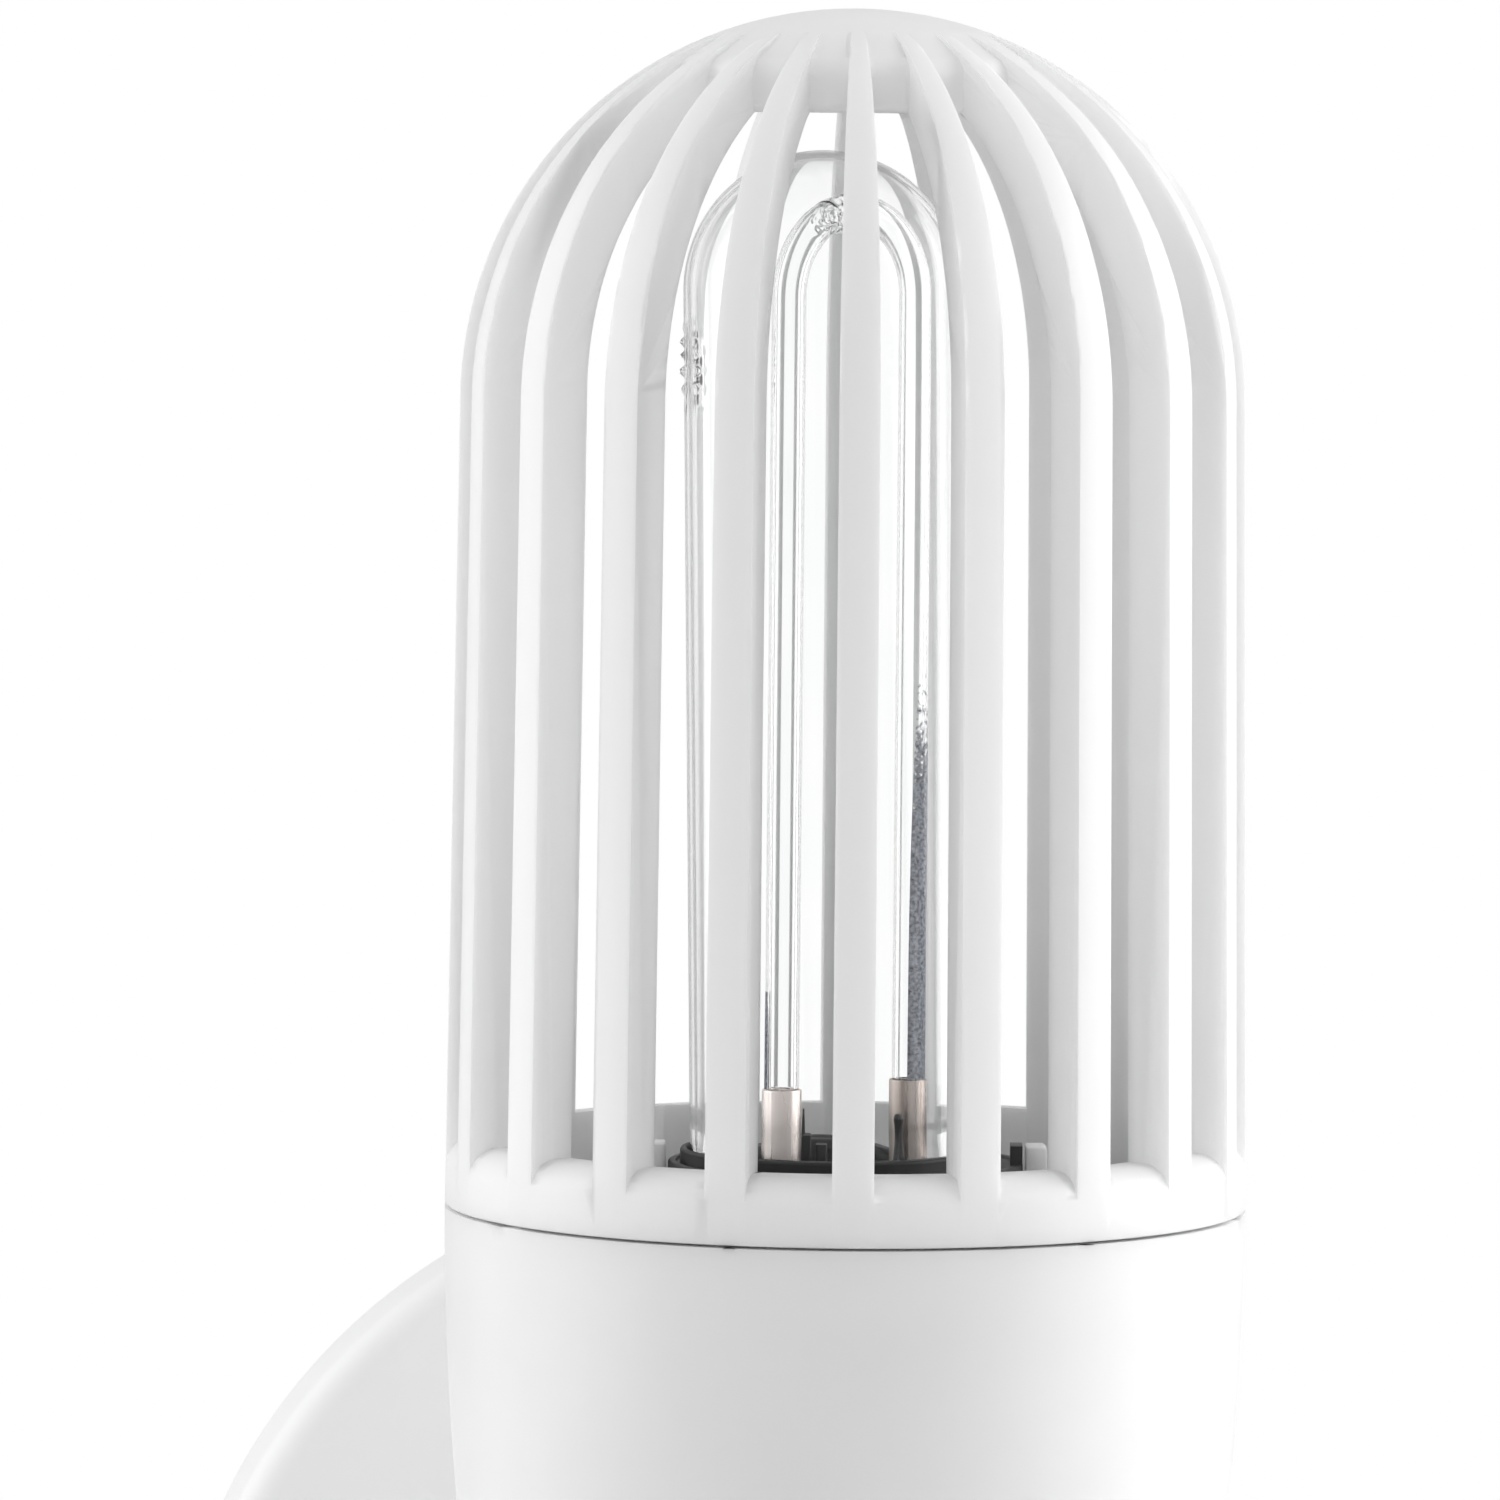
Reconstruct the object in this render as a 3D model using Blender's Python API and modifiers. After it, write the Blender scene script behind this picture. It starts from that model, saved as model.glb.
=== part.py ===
"""Wall-hung electric bug zapper: a lamp under a ribbed dome cage, on a tapered body with a wall canopy.

The frame's origin is the centre of the wall bracket's back face, on the wall. +Z is up and the
appliance stands out towards -Y. Lengths are in metres. The lamp, fan, grids and tray share one
upright axis, BODY_AXIS_Y in front of the wall.
"""

import math

import bmesh
import bpy
from mathutils import Matrix, Vector

GAP = 0.0003  # clearance between pieces that touch
BEYOND = 0.008  # how far a cutter reaches past what it cuts

# Body axis and the wall side
BODY_AXIS_Y = -0.091
CANOPY_R = 0.080
CANOPY_DEPTH = 0.016
CANOPY_WALL = 0.0026
CANOPY_EDGE_R = 0.0045
CANOPY_BACK = 0.0005
BRACKET_R = 0.074
BRACKET_T = 0.0025
NECK_WIDTH, NECK_HEIGHT, NECK_Z, NECK_CORNER = 0.044, 0.058, 0.020, 0.012
NECK_START = 0.040  # from the body's axis, inside the curve that is hollowed out of it
NECK_BORE_R = 0.0075
NECK_SCREW_Z = 0.020  # above and below the neck's middle
CANOPY_SCREW_X, CANOPY_SCREW_Z = 0.040, -0.052
ENTRY_Z, ENTRY_R = -0.028, 0.0070
WALL_SLOT, WALL_SLOT_ACROSS, WALL_SLOT_UP = (0.012, 0.0046, 0.0022), 0.052, 0.060
CANOPY_POST_R, CANOPY_PILOT_R = 0.004, 0.0015

# Pan-head screws: head radius and height
LARGE_HEAD = (0.0030, 0.0018)
SMALL_HEAD = (0.0026, 0.0016)
SCREW_HOLE_R = 0.0018
NECK_SCREW_R, CANOPY_SCREW_R = 0.0014, 0.0012
BODY_SCREW_LENGTH, NECK_SCREW_LENGTH = 0.018, 0.012
CANOPY_SCREW_LENGTH, DECK_SCREW_LENGTH = 0.009, 0.009

# Outer skin: body, seam and cage
SEAM_Z = 0.085
SEAM_GAP = 0.00035
BODY_R = 0.053
BARREL_R = 0.422  # radius of the arc that draws the body in below the seam
BODY_WALL = 0.003
BODY_LOW_Z = -0.010
TRAY_LOW_Z = -0.062
TRAY_WALL = 0.0025
DOME_R = 0.0517
DOME_Z = 0.1915
RIB_DEPTH = 0.0065
RIB_COUNT = 20
RIB_ANGLE = math.radians(5.8)
SHOULDER_LOW_Z, SHOULDER_TOP_Z = 0.0901, 0.0942
CAP_R = 0.0182  # where the slots begin
CROWN_R, CROWN_BORE_R, CROWN_LOW_Z, CROWN_CORNER_Z = 0.0250, 0.0215, 0.2295, 0.2358
CROWN_T = 0.003
SKIRT_R, SKIRT_LOW_Z = 0.0495, 0.0805

# Lamp
DECK_LOW_Z, DECK_T, DECK_R, DECK_HUB_R, DECK_WINDOW_R = 0.074, 0.003, 0.0493, 0.029, 0.0430
DECK_SPOKES, SPOKE_WIDTH = 9, 0.0044
BASE_R, BASE_TOP_Z, BASE_PLUG_R = 0.0235, 0.0911, 0.0075
JACKET_R, JACKET_WALL, JACKET_TOP_Z = 0.0184, 0.0010, 0.2246
JACKET_SHIFT, JACKET_LEAN = 0.0022, math.radians(0.9)
VIEW_ANGLE = math.radians(-10)  # the side-to-side line of the lamp clips, from +X
TUBE_R, LEG_HALF, CROWN_Z = 0.00225, 0.0115, 0.2190
LAMP_ANGLE = math.radians(33)  # the plane of the bent tube, from +X
TUBE_CAP_R, TUBE_CAP_H = 0.0026, 0.0099
SOCKET_R, SOCKET_H = 0.012, 0.015
CLIP_T, CLIP_RISE, CLIP_WIDTH = 0.0029, 0.0020, 0.0050
BASE_CONTACTS = (  # name, size, and place on the line of the lamp clips
    ("lead_clamp_large", (0.0021, 0.0026, 0.0032), -0.0056),
    ("lead_clamp_small", (0.0015, 0.0020, 0.0024), -0.0032),
    ("tube_stay", (0.0012, 0.0012, 0.0060), 0.0070),
)

# Killing grid, fan and tray
GRID_R, GRID_BORE_R, GRID_T = 0.041, 0.017, 0.0010
GROUND_GRID_Z, LIVE_GRID_Z = 0.0680, 0.0610
GRID_BARS, GRID_BAR_WIDTH = 8, 0.0018
GRID_ROWS = ((0.0190, 0.0265), (0.0281, 0.0360))
POST_RADIUS_AT, POST_R = 0.0385, 0.0020
POST_ANGLES = [math.radians(a) for a in (20, 140, 260)]
DECK_SCREW_AT, DECK_SCREW_R = 0.046, 0.0010
BOSS_R, BOSS_LOW_Z, BOSS_FLOOR = 0.0045, 0.060, 0.002
THIRDS = [math.radians(a) for a in (30, 150, 270)]
FAN_BRACKET_Z, FAN_BRACKET_T, FAN_RING_R, FAN_RIM, FAN_ARM = 0.0503, 0.003, 0.0482, 0.0035, 0.006
MOTOR_R, MOTOR_LOW_Z = 0.012, 0.032
HUB_R, HUB_LOW_Z, HUB_TOP_Z, FAN_R = 0.009, 0.0215, 0.0305, 0.040
BLADES, BLADE_CHORD, BLADE_T, BLADE_PITCH = 6, 0.0095, 0.0014, math.radians(32)
SHAFT_R = 0.0015
VENTS, VENT_WIDTH, VENT_LOW_Z, VENT_TOP_Z = 8, 0.0044, -0.046, -0.022

# Switch
BUTTON_Z, BUTTON_R, BUTTON_PROUD, BUTTON_TRAVEL = 0.012, 0.0060, 0.0030, 0.0025
SWITCH_SIZE = (0.014, 0.009, 0.014)

# Electronics in the canopy, and the leads from there to the lamp
GROMMET_BORE_R, GROMMET_LIP = 0.0040, 0.0018
BOARD_SIZE, BOARD_X, BOARD_Z, BOARD_STAND = (0.046, 0.0016, 0.062), -0.034, 0.012, 0.0012
TRANSFORMER_SIZE, TRANSFORMER_UP = (0.024, 0.0066, 0.022), 0.014
CAPACITOR_R, CAPACITOR_LENGTH, CAPACITOR_PITCH = 0.0031, 0.014, 0.014
BALLAST_SIZE, BALLAST_X, BALLAST_Z = (0.040, 0.0072, 0.030), 0.034, 0.012
TERMINAL_SIZE, TERMINAL_DROP = (0.026, 0.008, 0.012), 0.020
LEADS_R, LEADS_TURN_R, LEADS_UP_Y, LEADS_NECK_Y = 0.0015, 0.006, 0.0425, 0.066
LEADS_START = 0.0090  # from the wall
LEADS_OVER_FAN = 0.0035

ROUND = 40  # facets round a large turned piece
SMALL = 12  # facets round a screw, post or pin
HOLE = 17  # odd, so that no facet edge of a hole lies on an edge of the wall it goes through

MATERIALS = {
    "white_plastic": ((0.86, 0.86, 0.86, 1), 0.32, 0.0),
    "black_plastic": ((0.02, 0.02, 0.02, 1), 0.35, 0.0),
    "clear_glass": ((0.95, 0.97, 0.97, 1), 0.03, 0.0),
    "tube_metal": ((0.62, 0.55, 0.52, 1), 0.30, 1.0),
    "steel": ((0.60, 0.61, 0.63, 1), 0.30, 1.0),
    "ceramic": ((0.88, 0.86, 0.80, 1), 0.40, 0.0),
    "board": ((0.06, 0.22, 0.12, 1), 0.50, 0.0),
    "rubber": ((0.05, 0.05, 0.05, 1), 0.75, 0.0),
}


def clear_scene():
    for obj in list(bpy.data.objects):
        bpy.data.objects.remove(obj, do_unlink=True)


def make_collection(name):
    made = bpy.data.collections.new(name)
    bpy.context.scene.collection.children.link(made)
    return made


def make_material(name):
    colour, roughness, metallic = MATERIALS[name]
    material = bpy.data.materials.new(name)
    material.use_nodes = True
    shader = material.node_tree.nodes["Principled BSDF"]
    shader.inputs["Base Color"].default_value = colour
    shader.inputs["Roughness"].default_value = roughness
    shader.inputs["Metallic"].default_value = metallic
    if name == "clear_glass":
        shader.inputs["Transmission Weight"].default_value = 1.0
    material.diffuse_color = colour
    return material


def make_empty(name, location):
    empty = bpy.data.objects.new(name, None)
    empty.location = location
    parts.objects.link(empty)
    return empty


def place(obj, finish, parent, location=(0, 0, 0), rotation=(0, 0, 0)):
    """Puts a finished piece in the assembly; a finish of None makes it a cutter."""
    obj.parent = parent
    obj.location = location
    obj.rotation_euler = rotation
    if finish is None:
        cutters.objects.link(obj)
        obj.hide_render = True
        obj.display_type = "WIRE"
        return obj
    parts.objects.link(obj)
    obj.data.materials.append(finishes[finish])
    if obj.type == "MESH":
        obj.data.shade_smooth()
        obj.data.set_sharp_from_angle(angle=math.radians(35))
    return obj


def boolean(obj, other, operation):
    modifier = obj.modifiers.new(operation.lower(), "BOOLEAN")
    modifier.object = other
    modifier.operation = operation


def arc(centre, radius, start, end, steps):
    """Points (r, z) along an arc, both ends included; angles in degrees."""
    turn = [math.radians(start + (end - start) * i / steps) for i in range(steps + 1)]
    return [(centre[0] + radius * math.cos(a), centre[1] + radius * math.sin(a)) for a in turn]


def turned(name, profile, finish, parent, steps=ROUND, closed=False, **where):
    """A turned piece: the (r, z) profile runs down its outer side, and turns round local Z."""
    mesh = bpy.data.meshes.new(name)
    edges = [(i, i + 1) for i in range(len(profile) - 1)]
    if closed:
        edges.append((len(profile) - 1, 0))
    mesh.from_pydata([(r, 0, z) for r, z in profile], edges, [])
    obj = bpy.data.objects.new(name, mesh)
    screw = obj.modifiers.new("turn", "SCREW")
    screw.steps = steps
    screw.render_steps = steps
    screw.use_merge_vertices = True
    screw.merge_threshold = 0.00001
    return place(obj, finish, parent, **where)


def rod(name, radius, low, high, finish, parent, steps=SMALL, **where):
    profile = [(0, high), (radius, high), (radius, low), (0, low)]
    return turned(name, profile, finish, parent, steps, **where)


def block(name, size, finish, parent, edge=0.0, **where):
    mesh = bpy.data.meshes.new(name)
    shape = bmesh.new()
    bmesh.ops.create_cube(shape, size=1.0, matrix=Matrix.Diagonal((*size, 1)))
    shape.to_mesh(mesh)
    shape.free()
    obj = bpy.data.objects.new(name, mesh)
    if edge:
        bevel = obj.modifiers.new("edge", "BEVEL")
        bevel.width = edge
        bevel.segments = 2
    return place(obj, finish, parent, **where)


def circle(radius, at=(0, 0), steps=ROUND):
    turn = [2 * math.pi * i / steps for i in range(steps)]
    return [(at[0] + radius * math.cos(a), at[1] + radius * math.sin(a)) for a in turn]


def sector(inner, outer, middle, spoke, count, steps=4):
    """The window between two spokes of constant width, one of count windows round a disc."""
    half = math.pi / count

    def edge(radius, sign):
        return middle + sign * (half - math.asin(spoke / 2 / radius))

    def run(radius, first, last):
        turn = [first + (last - first) * i / steps for i in range(steps + 1)]
        return [(radius * math.cos(a), radius * math.sin(a)) for a in turn]

    return run(outer, edge(outer, -1), edge(outer, 1)) + run(inner, edge(inner, 1), edge(inner, -1))


def rounded_rectangle(width, height, radius, steps=5):
    points = []
    for sign_x, sign_y, start in ((1, 1, 0), (-1, 1, 90), (-1, -1, 180), (1, -1, 270)):
        centre = (sign_x * (width / 2 - radius), sign_y * (height / 2 - radius))
        points += arc(centre, radius, start, start + 90, steps)
    return points


def plate(name, outlines, low, thickness, finish, parent, **where):
    """A flat piece of the given thickness from its outline and the outlines of its holes, as a mesh."""
    curve = bpy.data.curves.new(name, "CURVE")
    curve.dimensions = "2D"
    curve.fill_mode = "BOTH"
    curve.extrude = thickness / 2
    for outline in outlines:
        spline = curve.splines.new("POLY")
        spline.points.add(len(outline) - 1)
        for point, (x, y) in zip(spline.points, outline):
            point.co = (x, y, 0, 1)
        spline.use_cyclic_u = True
    mesh = mesh_from_curve(name, curve)
    mesh.transform(Matrix.Translation((0, 0, low + thickness / 2)))
    return place(bpy.data.objects.new(name, mesh), finish, parent, **where)


def mesh_from_curve(name, curve):
    """The curve's solid as a welded mesh."""
    guide = bpy.data.objects.new(name + "_guide", curve)
    bpy.context.scene.collection.objects.link(guide)
    graph = bpy.context.evaluated_depsgraph_get()
    mesh = bpy.data.meshes.new_from_object(guide.evaluated_get(graph))
    bpy.data.objects.remove(guide, do_unlink=True)
    shape = bmesh.new()
    shape.from_mesh(mesh)
    bmesh.ops.remove_doubles(shape, verts=shape.verts, dist=0.000001)
    bmesh.ops.recalc_face_normals(shape, faces=shape.faces)
    shape.to_mesh(mesh)
    shape.free()
    return mesh


def tube(name, points, radius, finish, parent, resolution=4, **where):
    curve = bpy.data.curves.new(name, "CURVE")
    curve.dimensions = "3D"
    curve.bevel_depth = radius
    curve.bevel_resolution = resolution
    curve.use_fill_caps = True
    spline = curve.splines.new("POLY")
    spline.points.add(len(points) - 1)
    for point, place_at in zip(spline.points, points):
        point.co = (*place_at, 1)
    return place(bpy.data.objects.new(name, curve), finish, parent, **where)


def wedges(name, profile, angle, count, parent, first=0.0, steps=2):
    """Cutter of equal wedges round local Z, each the (r, z) profile swept through the angle."""
    shape = bmesh.new()
    for k in range(count):
        start = first + 2 * math.pi * k / count - angle / 2
        corners = [
            shape.verts.new((r * math.cos(start), r * math.sin(start), z)) for r, z in profile
        ]
        face = shape.faces.new(corners)
        geometry = corners + list(face.edges) + [face]
        bmesh.ops.spin(
            shape, geom=geometry, cent=(0, 0, 0), axis=(0, 0, 1), angle=angle, steps=steps
        )
    bmesh.ops.recalc_face_normals(shape, faces=shape.faces)
    mesh = bpy.data.meshes.new(name)
    shape.to_mesh(mesh)
    shape.free()
    return place(bpy.data.objects.new(name, mesh), None, parent)


def round_at(radius, angle, z=0.0):
    return (radius * math.cos(angle), radius * math.sin(angle), z)


def body_radius(z):
    """Outer radius of the body and tray at a height: an arc that is upright at the seam."""
    return BODY_R - (SEAM_Z - z) ** 2 / (2 * BARREL_R)


def side(low, high, steps, inset=0.0):
    """Profile points of the body's side from high to low."""
    heights = [high + (low - high) * i / steps for i in range(steps + 1)]
    return [(body_radius(z) - inset, z) for z in heights]


# --- Outer skin ---------------------------------------------------------------------------------


def make_cage():
    """One moulding: dome and wall of upright ribs between a cored crown and a plain ring."""
    inner_r = BODY_R - RIB_DEPTH
    inner_dome = DOME_R - RIB_DEPTH
    roof = DOME_R - CROWN_T
    crown_meets = math.degrees(math.asin((CROWN_LOW_Z - DOME_Z) / inner_dome))
    roof_meets = math.degrees(math.acos(CROWN_BORE_R / roof))
    profile = arc((0, DOME_Z), DOME_R, 90, 0, 9)
    profile += [(BODY_R, SEAM_Z + SEAM_GAP), (SKIRT_R, SEAM_Z + SEAM_GAP)]
    profile += [(SKIRT_R, SKIRT_LOW_Z), (inner_r, SKIRT_LOW_Z)]
    profile += arc((0, DOME_Z), inner_dome, 0, crown_meets, 6)
    profile += [(CROWN_BORE_R, CROWN_LOW_Z)]
    profile += arc((0, DOME_Z), roof, roof_meets, 90, 3)
    profile[0] = (0, DOME_Z + DOME_R)
    profile[-1] = (0, DOME_Z + roof)
    cage = turned("cage", profile, "white_plastic", body_axis)

    shoulder = SHOULDER_TOP_Z - SHOULDER_LOW_Z
    beyond_r, beyond_z = BODY_R + BEYOND, DOME_Z + DOME_R + BEYOND
    cap_edge = (CAP_R, DOME_Z + math.sqrt(DOME_R**2 - CAP_R**2))
    slot = [(CROWN_R, SHOULDER_TOP_Z)]
    slot += arc((BODY_R - shoulder, SHOULDER_LOW_Z), shoulder, 90, 0, 3)
    slot += [(beyond_r, SHOULDER_LOW_Z), (beyond_r, beyond_z), (CAP_R, beyond_z)]
    slot += [cap_edge, (CROWN_R, CROWN_CORNER_Z)]
    slot_angle = 2 * math.pi / RIB_COUNT - RIB_ANGLE
    boolean(cage, wedges("cage_slots", slot, slot_angle, RIB_COUNT, body_axis), "DIFFERENCE")


def make_body_shell():
    top, low = SEAM_Z, BODY_LOW_Z
    profile = side(low, top, 4) + side(low, top, 3, BODY_WALL)[::-1]
    shell = turned("body_shell", profile, "white_plastic", body_axis, closed=True)
    boss_top = DECK_LOW_Z - GAP
    for k, angle in enumerate(THIRDS):
        at = round_at(DECK_SCREW_AT, angle)
        boss = rod(f"boss_{k}", BOSS_R, BOSS_LOW_Z, boss_top, None, body_axis, location=at)
        boolean(shell, boss, "UNION")
    for k, angle in enumerate(THIRDS):
        at = round_at(DECK_SCREW_AT, angle)
        pilot_low = BOSS_LOW_Z + BOSS_FLOOR
        pilot = rod(f"pilot_{k}", DECK_SCREW_R + GAP, pilot_low, SEAM_Z, None, body_axis, location=at)
        boolean(shell, pilot, "DIFFERENCE")
    wall_cut = (BODY_R / 2, BODY_R + BEYOND)
    front = {"location": (0, 0, BUTTON_Z), "rotation": (math.radians(90), 0, 0)}
    hole = rod("button_hole", BUTTON_R + GAP, *wall_cut, None, body_axis, HOLE, **front)
    boolean(shell, hole, "DIFFERENCE")
    for name, radius, z in neck_holes():
        back = {"location": (0, 0, z), "rotation": (math.radians(-90), 0, 0)}
        hole = rod("shell_" + name, radius, *wall_cut, None, body_axis, HOLE, **back)
        boolean(shell, hole, "DIFFERENCE")


def neck_holes():
    """The cable bore and the two screw holes that run through body, neck and canopy."""
    return (
        ("cable_bore", NECK_BORE_R, NECK_Z),
        ("upper_screw_hole", SCREW_HOLE_R, NECK_Z + NECK_SCREW_Z),
        ("lower_screw_hole", SCREW_HOLE_R, NECK_Z - NECK_SCREW_Z),
    )


def make_tray():
    """The cup under the body, which drops off to be emptied: its skin carries on the body's curve."""
    top = BODY_LOW_Z - SEAM_GAP
    foot_r, rim_extra = 0.006, 0.002
    floor_z = TRAY_LOW_Z + TRAY_WALL
    spigot_r = body_radius(BODY_LOW_Z) - BODY_WALL - 2 * GAP
    spigot_top = BODY_LOW_Z + 0.005
    foot_centre = (body_radius(TRAY_LOW_Z + foot_r) - foot_r, TRAY_LOW_Z + foot_r)
    profile = [(0, floor_z), (foot_centre[0] - 0.001, floor_z)]
    profile += side(TRAY_LOW_Z + foot_r, top, 2, TRAY_WALL + rim_extra)[::-1]
    profile += [(spigot_r - TRAY_WALL, spigot_top), (spigot_r, spigot_top), (spigot_r, top)]
    profile += side(TRAY_LOW_Z + foot_r, top, 3)
    profile += arc(foot_centre, foot_r, 0, -90, 2)[1:]
    profile += [(0, TRAY_LOW_Z)]
    tray = turned("collection_tray", profile, "white_plastic", body_axis)
    near, far = BODY_R / 4, BODY_R + BEYOND
    vent = [(near, VENT_LOW_Z), (far, VENT_LOW_Z), (far, VENT_TOP_Z), (near, VENT_TOP_Z)]
    vent_angle = VENT_WIDTH / body_radius((VENT_LOW_Z + VENT_TOP_Z) / 2)
    boolean(tray, wedges("tray_vents", vent, vent_angle, VENTS, body_axis, steps=1), "DIFFERENCE")


# --- Lamp ---------------------------------------------------------------------------------------


def make_deck():
    """The spoked plate across the top of the body: insects pass its windows, the lamp stands on its hub."""
    outlines = [circle(DECK_R), circle(BASE_PLUG_R + 0.0005, steps=SMALL)]
    for k in range(DECK_SPOKES):
        middle = 2 * math.pi * k / DECK_SPOKES
        outlines.append(sector(DECK_HUB_R, DECK_WINDOW_R, middle, SPOKE_WIDTH, DECK_SPOKES, 3))
    for angle in THIRDS:
        at = round_at(DECK_SCREW_AT, angle)
        outlines.append(circle(DECK_SCREW_R + 2 * GAP, at[:2], SMALL))
    deck = plate("lamp_deck", outlines, DECK_LOW_Z, DECK_T, "white_plastic", body_axis)
    post_low = GROUND_GRID_Z + GRID_T + GAP
    post_top = DECK_LOW_Z + 0.001
    for k, angle in enumerate(POST_ANGLES):
        at = round_at(POST_RADIUS_AT, angle)
        post = rod(f"deck_post_{k}", POST_R, post_low, post_top, None, body_axis, location=at)
        boolean(deck, post, "UNION")
    for k, angle in enumerate(THIRDS):
        seat = DECK_LOW_Z + DECK_T + GAP
        at = round_at(DECK_SCREW_AT, angle)
        name, length = f"deck_screw_{k + 1}", DECK_SCREW_LENGTH
        screw(name, SMALL_HEAD, DECK_SCREW_R, length, body_axis, seat, location=at)


def screw(name, head, shank_r, length, parent, seat, **where):
    """A pan-head screw whose head sits on seat, with its shank down local Z."""
    head_r, head_t = head
    top = seat + head_t
    profile = [(0, top), (head_r * 0.75, top), (head_r, seat)]
    profile += [(shank_r, seat), (shank_r, seat - length), (0, seat - length)]
    return turned(name, profile, "steel", parent, SMALL, **where)


def make_lamp():
    base_low = DECK_LOW_Z + DECK_T + GAP
    plug_low = DECK_LOW_Z + 0.0002
    base = [(0, BASE_TOP_Z), (BASE_R - 0.0006, BASE_TOP_Z), (BASE_R, BASE_TOP_Z - 0.0006)]
    base += [(BASE_R, base_low), (BASE_PLUG_R, base_low), (BASE_PLUG_R, plug_low), (0, plug_low)]
    turned("lamp_base", base, "black_plastic", body_axis)
    rod("lamp_socket", SOCKET_R, plug_low - GAP - SOCKET_H, plug_low - 2 * GAP, "ceramic", body_axis, 24)

    seat = BASE_TOP_Z + GAP
    near, far, top = BASE_R + GAP, BASE_R + GAP + CLIP_T, seat + CLIP_RISE
    clip = [(near, base_low), (far, base_low), (far, top), (BASE_R - CLIP_RISE / 4, top)]
    clip += [(BASE_R - CLIP_RISE / 2, seat), (near, seat)]
    for name, angle in (("lamp_clip_right", VIEW_ANGLE), ("lamp_clip_left", VIEW_ANGLE + math.pi)):
        turn = (math.radians(90), 0, angle)
        plate(name, [clip], -CLIP_WIDTH / 2, CLIP_WIDTH, "white_plastic", body_axis, rotation=turn)

    lean = Matrix.Rotation(-JACKET_LEAN, 3, Vector((-math.sin(VIEW_ANGLE), math.cos(VIEW_ANGLE), 0)))
    shift = round_at(-JACKET_SHIFT, VIEW_ANGLE, BASE_TOP_Z + 2 * GAP)
    height = JACKET_TOP_Z - shift[2]
    inner = JACKET_R - JACKET_WALL
    spring = height - JACKET_R
    jacket = arc((0, spring), JACKET_R, 90, 0, 6) + [(JACKET_R, 0), (inner, 0)]
    jacket += arc((0, spring), inner, 0, 90, 5)
    jacket[0] = (0, height)
    jacket[-1] = (0, spring + inner)
    turned("lamp_jacket", jacket, "clear_glass", body_axis, 28, location=shift, rotation=lean.to_euler())

    cap_top = seat + TUBE_CAP_H
    bend = CROWN_Z - TUBE_R - LEG_HALF
    loop = [(-LEG_HALF, cap_top + GAP)]
    loop += [(-x, z) for x, z in arc((0, bend), LEG_HALF, 0, 180, 12)]
    loop += [(LEG_HALF, cap_top + GAP)]
    points = [(x * math.cos(LAMP_ANGLE), x * math.sin(LAMP_ANGLE), z) for x, z in loop]
    tube("uv_tube", points, TUBE_R, "clear_glass", body_axis, 3)
    for name, sign in (("tube_cap_near", -1), ("tube_cap_far", 1)):
        at = round_at(sign * LEG_HALF, LAMP_ANGLE)
        rod(name, TUBE_CAP_R, seat, cap_top, "tube_metal", body_axis, location=at)

    # small contacts and the tube's stay on the black base, in the side-to-side direction
    for name, size, along in BASE_CONTACTS:
        at = Vector(round_at(along, VIEW_ANGLE, seat + size[2] / 2))
        block(name, size, "black_plastic", body_axis, location=at, rotation=(0, 0, VIEW_ANGLE))


# --- Killing grid, fan and switch ---------------------------------------------------------------


def make_grids():
    for name, low in (("grid_ground", GROUND_GRID_Z), ("grid_live", LIVE_GRID_Z)):
        outlines = [circle(GRID_R), circle(GRID_BORE_R, steps=24)]
        for k in range(GRID_BARS):
            middle = 2 * math.pi * k / GRID_BARS
            for row_low, row_high in GRID_ROWS:
                outlines.append(sector(row_low, row_high, middle, GRID_BAR_WIDTH, GRID_BARS, 3))
        plate(name, outlines, low, GRID_T, "steel", body_axis)
    low, high = LIVE_GRID_Z + GRID_T + GAP, GROUND_GRID_Z - GAP
    flange, middle = POST_R + 0.0006, (low + high) / 2
    spool = [(0, high), (flange, high), (POST_R - 0.0004, middle), (flange, low), (0, low)]
    for k, angle in enumerate(POST_ANGLES):
        at = round_at(POST_RADIUS_AT, angle)
        turned(f"grid_insulator_{k + 1}", spool, "ceramic", body_axis, SMALL, location=at)


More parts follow.
